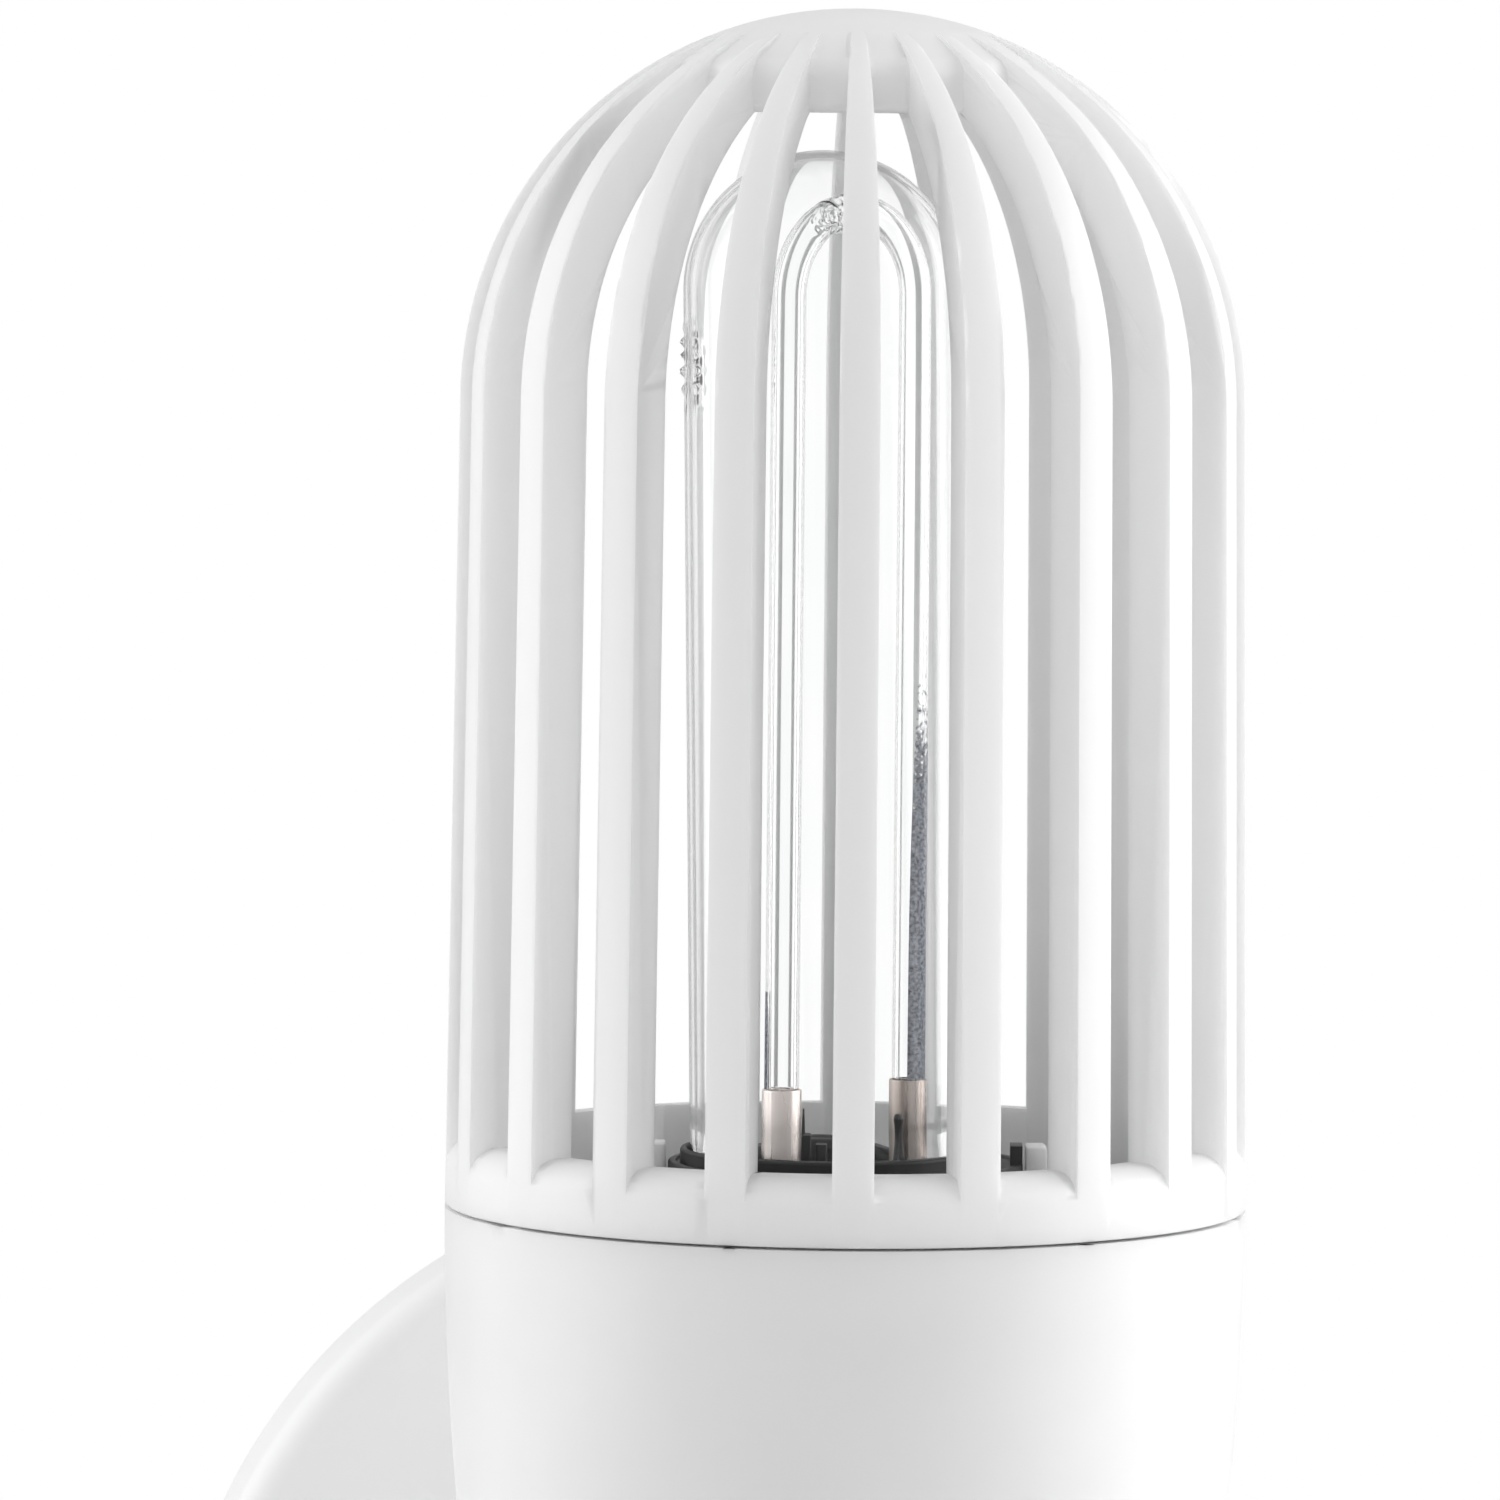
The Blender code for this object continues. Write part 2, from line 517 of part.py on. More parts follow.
def make_fan():
    outlines = [circle(FAN_RING_R)]
    for angle in THIRDS:
        middle = angle + math.pi
        outlines.append(sector(MOTOR_R + 0.002, FAN_RING_R - FAN_RIM, middle, FAN_ARM, len(THIRDS), 8))
    plate("fan_bracket", outlines, FAN_BRACKET_Z, FAN_BRACKET_T, "white_plastic", body_axis)

    top = FAN_BRACKET_Z - GAP
    edge = 0.0015
    motor = [(0, top), (MOTOR_R - edge, top), (MOTOR_R, top - edge), (MOTOR_R, MOTOR_LOW_Z + edge)]
    motor += [(MOTOR_R - edge, MOTOR_LOW_Z), (0, MOTOR_LOW_Z)]
    turned("fan_motor", motor, "steel", body_axis, 24)
    rod("fan_shaft", SHAFT_R, HUB_LOW_Z - 0.0010, MOTOR_LOW_Z - GAP, "steel", fan_axis, 12)

    hub = [(SHAFT_R + GAP, HUB_TOP_Z), (HUB_R - 0.001, HUB_TOP_Z), (HUB_R, HUB_TOP_Z - 0.001)]
    hub += [(HUB_R, HUB_LOW_Z), (SHAFT_R + GAP, HUB_LOW_Z)]
    fan = turned("fan_impeller", hub, "black_plastic", fan_axis, 24, closed=True)
    length = FAN_R - HUB_R + 0.0015
    middle_r, middle_z = FAN_R - length / 2, (HUB_TOP_Z + HUB_LOW_Z) / 2
    for k in range(BLADES):
        angle = 2 * math.pi * k / BLADES
        blade = block(f"blade_{k}", (length, BLADE_CHORD, BLADE_T), None, fan_axis)
        blade.matrix_local = (
            Matrix.Rotation(angle, 4, "Z")
            @ Matrix.Translation((middle_r, 0, middle_z))
            @ Matrix.Rotation(BLADE_PITCH, 4, "X")
        )
        boolean(fan, blade, "UNION")


def make_switch():
    """A round push switch in the front of the body; the button's local +Z points out of the body."""
    face = body_radius(BUTTON_Z) + BUTTON_PROUD
    flange = body_radius(BUTTON_Z) - BODY_WALL - 2 * GAP
    edge, stem = 0.0008, 0.001
    cap = [(0, face), (BUTTON_R - edge, face), (BUTTON_R, face - edge), (BUTTON_R, flange)]
    cap += [(BUTTON_R - stem, flange), (BUTTON_R - stem, flange - stem), (0, flange - stem)]
    out = {"location": (0, 0, BUTTON_Z), "rotation": (math.radians(90), 0, 0)}
    turned("switch_button", cap, "white_plastic", body_axis, 24, **out)
    back = flange - stem - BUTTON_TRAVEL - 2 * GAP
    at = (0, -(back - SWITCH_SIZE[1] / 2), BUTTON_Z)
    block("switch_body", SWITCH_SIZE, "black_plastic", body_axis, 0.0006, location=at)


# --- Wall side ----------------------------------------------------------------------------------


def make_neck():
    """The stub that carries the body in front of the canopy; its front is hollowed to the body's curve."""
    reach = -BODY_AXIS_Y - CANOPY_DEPTH - GAP
    outlines = [rounded_rectangle(NECK_WIDTH, NECK_HEIGHT, NECK_CORNER)]
    for _, radius, z in neck_holes():
        outlines.append(circle(radius, (0, NECK_Z - z), SMALL))
    turn = (math.radians(-90), 0, 0)
    at = (0, 0, NECK_Z)
    depth = reach - NECK_START
    where = {"location": at, "rotation": turn}
    neck = plate("neck_arm", outlines, NECK_START, depth, "white_plastic", body_axis, **where)
    low, high = NECK_Z - NECK_HEIGHT, NECK_Z + NECK_HEIGHT
    around = [(0, high)] + side(low, high, 8, -GAP) + [(0, low)]
    boolean(neck, turned("neck_hollow", around, None, body_axis, 80), "DIFFERENCE")
    for name, _, z in neck_holes()[1:]:
        seat = -(body_radius(z) - BODY_WALL - 0.0016)
        where = {"location": (0, 0, z), "rotation": (math.radians(90), 0, 0)}
        label = name.replace("_hole", "")
        screw("body_" + label, LARGE_HEAD, NECK_SCREW_R, BODY_SCREW_LENGTH, body_axis, seat, **where)
        where = {"location": (0, 0, z), "rotation": (math.radians(-90), 0, 0)}
        seat = CANOPY_WALL + GAP - CANOPY_DEPTH
        screw("neck_" + label, LARGE_HEAD, NECK_SCREW_R, NECK_SCREW_LENGTH, wall, seat, **where)


def make_canopy():
    """The round cover on the wall, open at its back."""
    inner = CANOPY_R - CANOPY_WALL
    front, within = CANOPY_DEPTH, CANOPY_DEPTH - CANOPY_WALL
    profile = [(0, front)]
    profile += arc((CANOPY_R - CANOPY_EDGE_R, front - CANOPY_EDGE_R), CANOPY_EDGE_R, 90, 0, 3)
    profile += [(CANOPY_R, CANOPY_BACK), (inner, CANOPY_BACK), (inner, within - 0.003)]
    profile += [(inner - 0.003, within), (0, within)]
    out = {"rotation": (math.radians(90), 0, 0)}
    canopy = turned("wall_canopy", profile, "white_plastic", wall, 48, **out)
    holes = [(radius, 0, z) for _, radius, z in neck_holes()]
    holes += [(SCREW_HOLE_R, sign * CANOPY_SCREW_X, CANOPY_SCREW_Z) for sign in (-1, 1)]
    for k, (radius, x, z) in enumerate(holes):
        low, high = within - BEYOND / 2, front + BEYOND / 2
        hole = rod(f"canopy_hole_{k}", radius, low, high, None, wall, HOLE, location=(x, 0, z), **out)
        boolean(canopy, hole, "DIFFERENCE")
    for name, sign in (("canopy_screw_left", -1), ("canopy_screw_right", 1)):
        at = (sign * CANOPY_SCREW_X, 0, CANOPY_SCREW_Z)
        length = CANOPY_SCREW_LENGTH
        screw(name, LARGE_HEAD, CANOPY_SCREW_R, length, wall, front + GAP, location=at, **out)


def make_bracket():
    """The flat plate screwed to the wall, with slots for its screws and two posts for the canopy's screws."""
    outlines = [circle(BRACKET_R, steps=48), circle(ENTRY_R, (0, ENTRY_Z), SMALL)]
    for sign in (-1, 1):
        slot = rounded_rectangle(*WALL_SLOT, 3)
        outlines.append([(x + sign * WALL_SLOT_ACROSS, y) for x, y in slot])
        outlines.append([(y, x + sign * WALL_SLOT_UP) for x, y in slot][::-1])
    out = {"rotation": (math.radians(90), 0, 0)}
    bracket = plate("wall_bracket", outlines, 0, BRACKET_T, "steel", wall, **out)
    top = CANOPY_DEPTH - CANOPY_WALL - GAP
    for name, sign in (("left", -1), ("right", 1)):
        at = {"location": (sign * CANOPY_SCREW_X, 0, CANOPY_SCREW_Z), **out}
        post = rod(f"bracket_post_{name}", CANOPY_POST_R, BRACKET_T / 2, top, None, wall, **at)
        boolean(bracket, post, "UNION")
        bottom = BRACKET_T + 0.001
        pilot = rod(f"bracket_pilot_{name}", CANOPY_PILOT_R, bottom, top + BEYOND, None, wall, **at)
        boolean(bracket, pilot, "DIFFERENCE")


def make_electronics():
    """Mains entry, lamp ballast and high-voltage supply, in the canopy."""
    out = {"rotation": (math.radians(90), 0, 0)}
    lip_r, lip_low, lip_top = ENTRY_R + GROMMET_LIP, BRACKET_T + GAP, BRACKET_T + 8 * GAP
    grommet = [(GROMMET_BORE_R, lip_top), (lip_r, lip_top), (lip_r, lip_low), (ENTRY_R - GAP, lip_low)]
    grommet += [(ENTRY_R - GAP, GAP), (GROMMET_BORE_R, GAP)]
    at = (0, 0, ENTRY_Z)
    turned("cable_grommet", grommet, "rubber", wall, 20, closed=True, location=at, **out)

    board_y = -(BRACKET_T + BOARD_STAND + BOARD_SIZE[1] / 2)
    block("circuit_board", BOARD_SIZE, "board", wall, location=(BOARD_X, board_y, BOARD_Z))
    on_board = board_y - BOARD_SIZE[1] / 2 - GAP
    at = (BOARD_X, on_board - TRANSFORMER_SIZE[1] / 2, BOARD_Z + TRANSFORMER_UP)
    block("hv_transformer", TRANSFORMER_SIZE, "black_plastic", wall, 0.0008, location=at)
    for name, sign in (("hv_capacitor_1", -1), ("hv_capacitor_2", 1)):
        along, half = BOARD_X + sign * CAPACITOR_PITCH / 2, CAPACITOR_LENGTH / 2
        at = (along, on_board - CAPACITOR_R, BOARD_Z - TRANSFORMER_UP)
        rod(name, CAPACITOR_R, -half, half, "ceramic", wall, location=at)
    at = (BALLAST_X, -(BRACKET_T + GAP + BALLAST_SIZE[1] / 2), BALLAST_Z)
    block("lamp_ballast", BALLAST_SIZE, "steel", wall, 0.0010, location=at)
    at = (0, -(BRACKET_T + GAP + TERMINAL_SIZE[1] / 2), ENTRY_Z - TERMINAL_DROP)
    block("terminal_block", TERMINAL_SIZE, "ceramic", wall, 0.0006, location=at)


def make_harness():
    """Leads from the canopy through the neck, up the back of the body and in to the lamp socket."""
    in_z = FAN_BRACKET_Z + FAN_BRACKET_T + LEADS_OVER_FAN
    low_bend = (LEADS_UP_Y + LEADS_TURN_R, NECK_Z + LEADS_TURN_R)
    high_bend = (LEADS_UP_Y - LEADS_TURN_R, in_z - LEADS_TURN_R)
    run = [(-BODY_AXIS_Y - LEADS_START, NECK_Z), (LEADS_NECK_Y, NECK_Z)]
    run += arc(low_bend, LEADS_TURN_R, 270, 180, 5) + arc(high_bend, LEADS_TURN_R, 0, 90, 5)
    end = SOCKET_R + 2 * GAP
    run += [(end + 0.004, in_z + 0.001), (end, in_z + 0.0015)]
    points = [(0, y, z) for y, z in run]
    tube("lead_harness", points, LEADS_R, "rubber", body_axis, 2)


clear_scene()
parts = make_collection("bug_zapper")
cutters = make_collection("cutters")
finishes = {name: make_material(name) for name in MATERIALS}
wall = make_empty("wall_plane", (0, 0, 0))
body_axis = make_empty("body_axis", (0, BODY_AXIS_Y, 0))
fan_axis = make_empty("fan_axis", (0, BODY_AXIS_Y, 0))

make_cage()
make_body_shell()
make_tray()
make_deck()
make_lamp()
make_grids()
make_fan()
make_switch()
make_neck()
make_canopy()
make_bracket()
make_electronics()
make_harness()
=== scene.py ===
"""The looks of the electric bug zapper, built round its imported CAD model.

Everything is in metres in the CAD's own frame: origin on the wall, +Z up, the appliance out
towards -Y.
"""

import math

import bmesh
import bpy
from mathutils import Matrix, Vector


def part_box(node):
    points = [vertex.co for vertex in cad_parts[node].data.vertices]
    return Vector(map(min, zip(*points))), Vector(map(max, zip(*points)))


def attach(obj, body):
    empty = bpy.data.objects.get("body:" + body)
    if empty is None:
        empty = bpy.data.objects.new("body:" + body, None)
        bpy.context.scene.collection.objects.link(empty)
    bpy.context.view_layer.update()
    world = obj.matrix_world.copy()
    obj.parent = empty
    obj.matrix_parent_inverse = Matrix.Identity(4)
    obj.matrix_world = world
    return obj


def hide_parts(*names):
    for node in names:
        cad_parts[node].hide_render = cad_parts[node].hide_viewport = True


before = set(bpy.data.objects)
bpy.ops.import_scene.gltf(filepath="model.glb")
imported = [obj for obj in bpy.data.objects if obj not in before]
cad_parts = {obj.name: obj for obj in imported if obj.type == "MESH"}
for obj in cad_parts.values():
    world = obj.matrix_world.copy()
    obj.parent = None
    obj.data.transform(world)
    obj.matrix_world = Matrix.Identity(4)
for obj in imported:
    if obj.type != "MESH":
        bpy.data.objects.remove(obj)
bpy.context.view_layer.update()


# --- Measures, from the frame where it has them -------------------------------------------------


def middle(node):
    low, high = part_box(node)
    return (low + high) / 2


def half_width(node):
    low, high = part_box(node)
    return (high.x - low.x) / 2


AXIS = Vector((0, middle("cage").y, 0))
BODY_R = half_width("cage")
DOME_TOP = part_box("cage")[1].z
SKIRT_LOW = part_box("cage")[0].z
SEAM_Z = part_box("body_shell")[1].z
BODY_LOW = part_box("body_shell")[0].z
TRAY_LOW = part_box("collection_tray")[0].z
BASE_R = half_width("lamp_base")
BASE_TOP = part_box("lamp_base")[1].z
JACKET_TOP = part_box("lamp_jacket")[1].z
CANOPY_R = half_width("wall_canopy")
CANOPY_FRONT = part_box("wall_canopy")[0].y

SEAM_GAP = 0.00035
DOME_R = 0.0517
DOME_Z = DOME_TOP - DOME_R
RIB_DEPTH = 0.0065
RIB_COUNT = 20
RIB_ANGLE = math.radians(5.8)
SHOULDER_LOW, SHOULDER_TOP = 0.0901, 0.0942
CAP_R = 0.0182
CROWN_R, CROWN_BORE_R, CROWN_LOW, CROWN_CORNER = 0.0250, 0.0215, 0.2295, 0.2358
CROWN_T = 0.003
SKIRT_R = 0.0495
BARREL_R = 0.422
BODY_WALL, TRAY_WALL = 0.003, 0.0025
TRAY_FOOT_R, TRAY_FLOOR_R, TRAY_SPIGOT = 0.006, 0.004, 0.005
TRAY_WALL_LOW, TRAY_THICKER = 0.012, 0.002  # where the inner wall starts, and its extra thickness

GAP = 0.0003
BEYOND = 0.008  # how far a cutter runs past what it cuts
NECK_WIDTH, NECK_HEIGHT, NECK_Z, NECK_CORNER = 0.044, 0.058, 0.020, 0.012
NECK_BORE_R, NECK_SCREW_Z = 0.0075, 0.020
NECK_START, NECK_BORES_START = 0.040, 0.030
CANOPY_WALL, CANOPY_EDGE_R = 0.0026, 0.0045
CANOPY_SCREW_X, CANOPY_SCREW_Z = 0.040, -0.052
BRACKET_R, BRACKET_T = 0.074, 0.0025
ENTRY_Z, ENTRY_R = -0.028, 0.0070
WALL_SLOT, WALL_SLOT_ACROSS, WALL_SLOT_UP = (0.012, 0.0046, 0.0022), 0.052, 0.060
CANOPY_POST_R, CANOPY_PILOT_R = 0.004, 0.0015
LARGE_HEAD, SMALL_HEAD = (0.0030, 0.0018), (0.0026, 0.0016)
SCREW_HOLE_R, NECK_SCREW_R, CANOPY_SCREW_R = 0.0018, 0.0014, 0.0012
BODY_SCREW_LENGTH, NECK_SCREW_LENGTH = 0.018, 0.012
CANOPY_SCREW_LENGTH, DECK_SCREW_LENGTH = 0.009, 0.009

DECK_LOW, DECK_T, DECK_R, DECK_HUB_R, DECK_WINDOW_R = 0.074, 0.003, 0.0493, 0.029, 0.0430
DECK_SPOKES, SPOKE_WIDTH = 9, 0.0044
DECK_SCREW_AT, DECK_SCREW_R = 0.046, 0.0010
BOSS_R, BOSS_LOW = 0.0045, 0.060
BASE_PLUG_R, BASE_STEP, UPSTAND_T = 0.0075, 0.0004, 0.0016
COLLAR_T, COLLAR_RISE = 0.0010, 0.0017
CLIP_T, CLIP_WIDTH, CLIP_TOP = 0.0029, 0.0050, BASE_TOP + GAP + 0.0020
JACKET_R, JACKET_WALL, JACKET_SHIFT, JACKET_LEAN = 0.0184, 0.0010, 0.0022, math.radians(0.9)
VIEW_ANGLE, LAMP_ANGLE = math.radians(-10), math.radians(33)
JACKET_MARKS = (  # angle, height, size and depth of the places where the wall was worked
    (VIEW_ANGLE + math.radians(176), 0.1990, 0.0022, 0.00048),
    (VIEW_ANGLE + math.radians(172), 0.1950, 0.0028, 0.00060),
)
TUBE_R, TUBE_BORE_R, LEG_HALF, TUBE_TOP = 0.00225, 0.0017, 0.0115, 0.2190
TUBE_MARK = (-0.0034, 0.2154)  # across the lamp and up: where the bend was pinched
CAP_SLEEVE_R, CAP_TOP = 0.0026, BASE_TOP + GAP + 0.0099
CLAMPS = (  # name, width, depth, height, distance along the view's side-to-side line
    ("large", 0.0021, 0.0026, 0.0032, -0.0056),
    ("small", 0.0015, 0.0020, 0.0024, -0.0032),
)
CLAMP_NOTCH_HALF, CLAMP_NOTCH_DEPTH, CLAMP_PIN = 0.0003, 0.0009, 0.0034
STAY_ALONG = 0.0070
FILMS = (  # name, leg of the tube, direction faced, angle covered, top
    # This film is a mottled dark stripe on the far leg, fading out upwards.
    ("leg_deposit", 1, VIEW_ANGLE - math.radians(42), math.radians(106), 0.1620),
    # This film paints the dark refraction line at the near leg's edge: painted shade, not a wire.
    ("painted_refraction_line", -1, VIEW_ANGLE + math.radians(203), math.radians(26), 0.1180),
)

GRID_R, GRID_BORE_R, GRID_T = 0.041, 0.017, 0.0010
GROUND_GRID_Z, LIVE_GRID_Z = 0.0680, 0.0610
GRID_BARS, GRID_BAR_WIDTH, GRID_ROWS = 8, 0.0018, ((0.0190, 0.0265), (0.0281, 0.0360))
POST_RADIUS_AT, POST_R = 0.0385, 0.0020
POST_ANGLES = [math.radians(a) for a in (20, 140, 260)]
THIRDS = [math.radians(a) for a in (30, 150, 270)]
FAN_BRACKET_Z, FAN_BRACKET_T, FAN_RING_R, FAN_RIM, FAN_ARM = 0.0503, 0.003, 0.0482, 0.0035, 0.006
MOTOR_R, MOTOR_LOW = 0.012, 0.032
HUB_R, HUB_LOW, HUB_TOP, FAN_R = 0.009, 0.0215, 0.0305, 0.040
BLADES, BLADE_CHORD, BLADE_T, BLADE_ROOT = 6, 0.0095, 0.0014, 0.0015
BLADE_PITCH, BLADE_TWIST = math.radians(32), math.radians(5)
SHAFT_R = 0.0015
VENTS, VENT_WIDTH, VENT_LOW, VENT_TOP = 8, 0.0044, -0.046, -0.022
BUTTON_Z, BUTTON_R, BUTTON_PROUD = 0.012, 0.0060, 0.0030
BUTTON_LIP, BUTTON_DISH, BUTTON_STEM = 0.0014, 0.0005, 0.001

ON_AXIS = Matrix.Translation(AXIS)
FORWARD = Matrix.Rotation(math.pi / 2, 4, "X")  # +Z turns to the front, +Y to up
BACKWARD = Matrix.Rotation(-math.pi / 2, 4, "X")

VIEW_AZIMUTH = math.radians(-10.1)


# --- Mesh tools ---------------------------------------------------------------------------------


def new_object(name, data):
    obj = bpy.data.objects.new(name, data)
    bpy.context.scene.collection.objects.link(obj)
    return obj


def link(name, mesh, finish, body, replaced=(), sharp=35, place=ON_AXIS):
    """Put a finished piece in the scene: placed, shaded, with its material, riding on its body."""
    mesh.transform(place)
    obj = new_object(name, mesh)
    mesh.materials.clear()
    mesh.materials.append(finish)
    mesh.shade_smooth()
    mesh.set_sharp_from_angle(angle=math.radians(sharp))
    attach(obj, body)
    if replaced:
        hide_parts(*replaced)


def to_mesh(shape, name):
    mesh = bpy.data.meshes.new(name)
    shape.to_mesh(mesh)
    shape.free()
    return mesh


def arc(centre, radius, start, end, steps):
    """Points (r, z) along an arc, both ends included; angles in degrees."""
    turn = [math.radians(start + (end - start) * i / steps) for i in range(steps + 1)]
    return [(centre[0] + radius * math.cos(a), centre[1] + radius * math.sin(a)) for a in turn]


def rounded(corners, steps=4):
    """Points (r, z) of an open outline from its corners: (r, z), or (r, z, radius) to round one."""
    points = []
    for i, corner in enumerate(corners):
        here = Vector(corner[:2])
        if len(corner) < 3 or i in (0, len(corners) - 1):
            points.append(tuple(here))
            continue
        before = (Vector(corners[i - 1][:2]) - here).normalized()
        after = (Vector(corners[i + 1][:2]) - here).normalized()
        half = before.angle(after) / 2
        reach = corner[2] / math.tan(half)
        first, last = here + before * reach, here + after * reach
        centre = here + (before + after).normalized() * (corner[2] / math.sin(half))
        for k in range(steps + 1):
            spoke = (first - centre).lerp(last - centre, k / steps).normalized()
            points.append(tuple(centre + spoke * corner[2]))
    return points


def revolve(profile, steps, closed=False):
    """A turned mesh from (r, z) points down the outer side; points on the axis become poles."""
    shape = bmesh.new()
    rings = []
    for r, z in profile:
        if r < 1e-7:
            rings.append([shape.verts.new((0, 0, z))])
            continue
        turn = [2 * math.pi * k / steps for k in range(steps)]
        rings.append([shape.verts.new((r * math.cos(a), r * math.sin(a), z)) for a in turn])
    pairs = list(zip(rings, rings[1:]))
    if closed:
        pairs.append((rings[-1], rings[0]))
    for upper, lower in pairs:
        for k in range(steps):
            n = (k + 1) % steps
            corners = [upper[k % len(upper)], lower[k % len(lower)]]
            corners += [lower[n % len(lower)], upper[n % len(upper)]]
            unique = list(dict.fromkeys(corners))
            if len(unique) > 2:
                shape.faces.new(unique)
    bmesh.ops.recalc_face_normals(shape, faces=shape.faces)
    return shape


def wedges(profile, angle, count, first=0.0, steps=6):
    """Equal wedges round Z, each the closed (r, z) profile swept through the angle."""
    shape = bmesh.new()
    for k in range(count):
        start = first + 2 * math.pi * k / count - angle / 2
        corners = [
            shape.verts.new((r * math.cos(start), r * math.sin(start), z)) for r, z in profile
        ]
        face = shape.faces.new(corners)
        geometry = corners + list(face.edges) + [face]
        bmesh.ops.spin(
            shape, geom=geometry, cent=(0, 0, 0), axis=(0, 0, 1), angle=angle, steps=steps
        )
    bmesh.ops.recalc_face_normals(shape, faces=shape.faces)
    return shape


def carve(shape, cutters, edge=0.0, segments=3, angle=30):
    """The shape with each (cutter, operation) applied, then its sharp edges rounded by edge."""
    base = new_object("base", to_mesh(shape, "base"))
    spent = [base]
    for k, (cutter, operation) in enumerate(cutters):
        other = new_object(f"cutter_{k}", to_mesh(cutter, f"cutter_{k}"))
        spent.append(other)
        step = base.modifiers.new("carve", "BOOLEAN")
        step.object = other
        step.operation = operation
        step.solver = "EXACT"
    if edge:
        bevel = base.modifiers.new("edges", "BEVEL")
        bevel.width = edge
        bevel.segments = segments
        bevel.limit_method = "ANGLE"
        bevel.angle_limit = math.radians(angle)
        bevel.use_clamp_overlap = True
        bevel.miter_outer = "MITER_ARC"
        base.modifiers.new("normals", "WEIGHTED_NORMAL").keep_sharp = True
    graph = bpy.context.evaluated_depsgraph_get()
    mesh = bpy.data.meshes.new_from_object(base.evaluated_get(graph))
    for obj in spent:
        bpy.data.objects.remove(obj, do_unlink=True)
    return mesh


def rod(radius, low, high, steps=32, turn=Matrix.Identity(4)):
    """A plain round cutter or pin along Z, then moved by turn."""
    shape = revolve([(0, high), (radius, high), (radius, low), (0, low)], steps)
    shape.transform(turn)
    return shape


def round_at(radius, angle, z=0.0):
    return Vector((radius * math.cos(angle), radius * math.sin(angle), z))


def join(shape, first, second):
    """Faces between two closed rings of points."""
    for k in range(len(first)):
        n = (k + 1) % len(first)
        shape.faces.new((first[k], first[n], second[n], second[k]))


def circle(radius, at=(0, 0), steps=64):
    turn = [2 * math.pi * i / steps for i in range(steps)]
    return [(at[0] + radius * math.cos(a), at[1] + radius * math.sin(a)) for a in turn]


def sector(inner, outer, facing, spoke, count, steps=12):
    """The window between two spokes of constant width, one of count windows round a disc."""
    half = math.pi / count

    def run(radius, direction):
        reach = half - math.asin(spoke / 2 / radius)
        turn = [facing + direction * reach * (2 * i / steps - 1) for i in range(steps + 1)]
        return [(radius * math.cos(a), radius * math.sin(a)) for a in turn]

    return run(outer, 1) + run(inner, -1)


def rectangle(low, high, half):
    """The outline from low to high in x and half a width to each side in y."""
    return [(low, -half), (high, -half), (high, half), (low, half)]


def rounded_rectangle(width, height, radius, steps=5):
    points = []
    for sign_x, sign_y, start in ((1, 1, 0), (-1, 1, 90), (-1, -1, 180), (1, -1, 270)):
        centre = (sign_x * (width / 2 - radius), sign_y * (height / 2 - radius))
        points += arc(centre, radius, start, start + 90, steps)
    return points


def prism(outline, low, high, turn=Matrix.Identity(4)):
    """A closed (x, y) outline drawn up from low to high, then moved by turn."""
    shape = bmesh.new()
    add_prism(shape, outline, low, high)
    bmesh.ops.recalc_face_normals(shape, faces=shape.faces)
    shape.transform(turn)
    return shape


def add_prism(shape, outline, low, high):
    bottom = [shape.verts.new((x, y, low)) for x, y in outline]
    top = [shape.verts.new((x, y, high)) for x, y in outline]
    shape.faces.new(bottom)
    shape.faces.new(top[::-1])
    for k in range(len(outline)):
        n = (k + 1) % len(outline)
        shape.faces.new((bottom[k], top[k], top[n], bottom[n]))


def plate(outlines, low, thickness):
    """A flat sheet from its outline, with the outlines of its holes cut out."""
    holes = bmesh.new()
    for outline in outlines[1:]:
        add_prism(holes, outline, low - thickness, low + 2 * thickness)
    bmesh.ops.recalc_face_normals(holes, faces=holes.faces)
    mesh = carve(prism(outlines[0], low, low + thickness), [(holes, "DIFFERENCE")])
    shape = bmesh.new()
    shape.from_mesh(mesh)
    bpy.data.meshes.remove(mesh)
    return shape


def body_radius(z):
    """Outer radius of the body and tray: an arc that is upright at the seam."""
    return BODY_R - (SEAM_Z - z) ** 2 / (2 * BARREL_R)


def side(low, high, steps, inset=0.0):
    heights = [high + (low - high) * i / steps for i in range(steps + 1)]
    return [(body_radius(z) - inset, z) for z in heights]


# --- Materials ----------------------------------------------------------------------------------


def node_material(name):
    material = bpy.data.materials.new(name)
    material.use_nodes = True
    nodes, links = material.node_tree.nodes, material.node_tree.links
    return material, nodes["Principled BSDF"], nodes, links


def set_inputs(node, values):
    for name, value in values.items():
        node.inputs[name].default_value = value


def noise(nodes, links, scale, detail=3.0):
    place = nodes.new("ShaderNodeTexCoord")
    texture = nodes.new("ShaderNodeTexNoise")
    set_inputs(texture, {"Scale": scale, "Detail": detail})
    links.new(place.outputs["Object"], texture.inputs["Vector"])
    return texture.outputs["Fac"]


def ramp(nodes, links, source, low, high):
    """Colours or greys from low to high over the source's middle range."""
    found = nodes.new("ShaderNodeValToRGB")
    found.color_ramp.elements[0].position = 0.3
    found.color_ramp.elements[0].color = low
    found.color_ramp.elements[1].position = 0.7
    found.color_ramp.elements[1].color = high
    links.new(source, found.inputs["Fac"])
    return found.outputs["Color"]


def grey(value):
    return (value, value, value, 1)


def bump(nodes, links, shader, source, strength, distance):
    step = nodes.new("ShaderNodeBump")
    set_inputs(step, {"Strength": strength, "Distance": distance})
    links.new(source, step.inputs["Height"])
    links.new(step.outputs["Normal"], shader.inputs["Normal"])


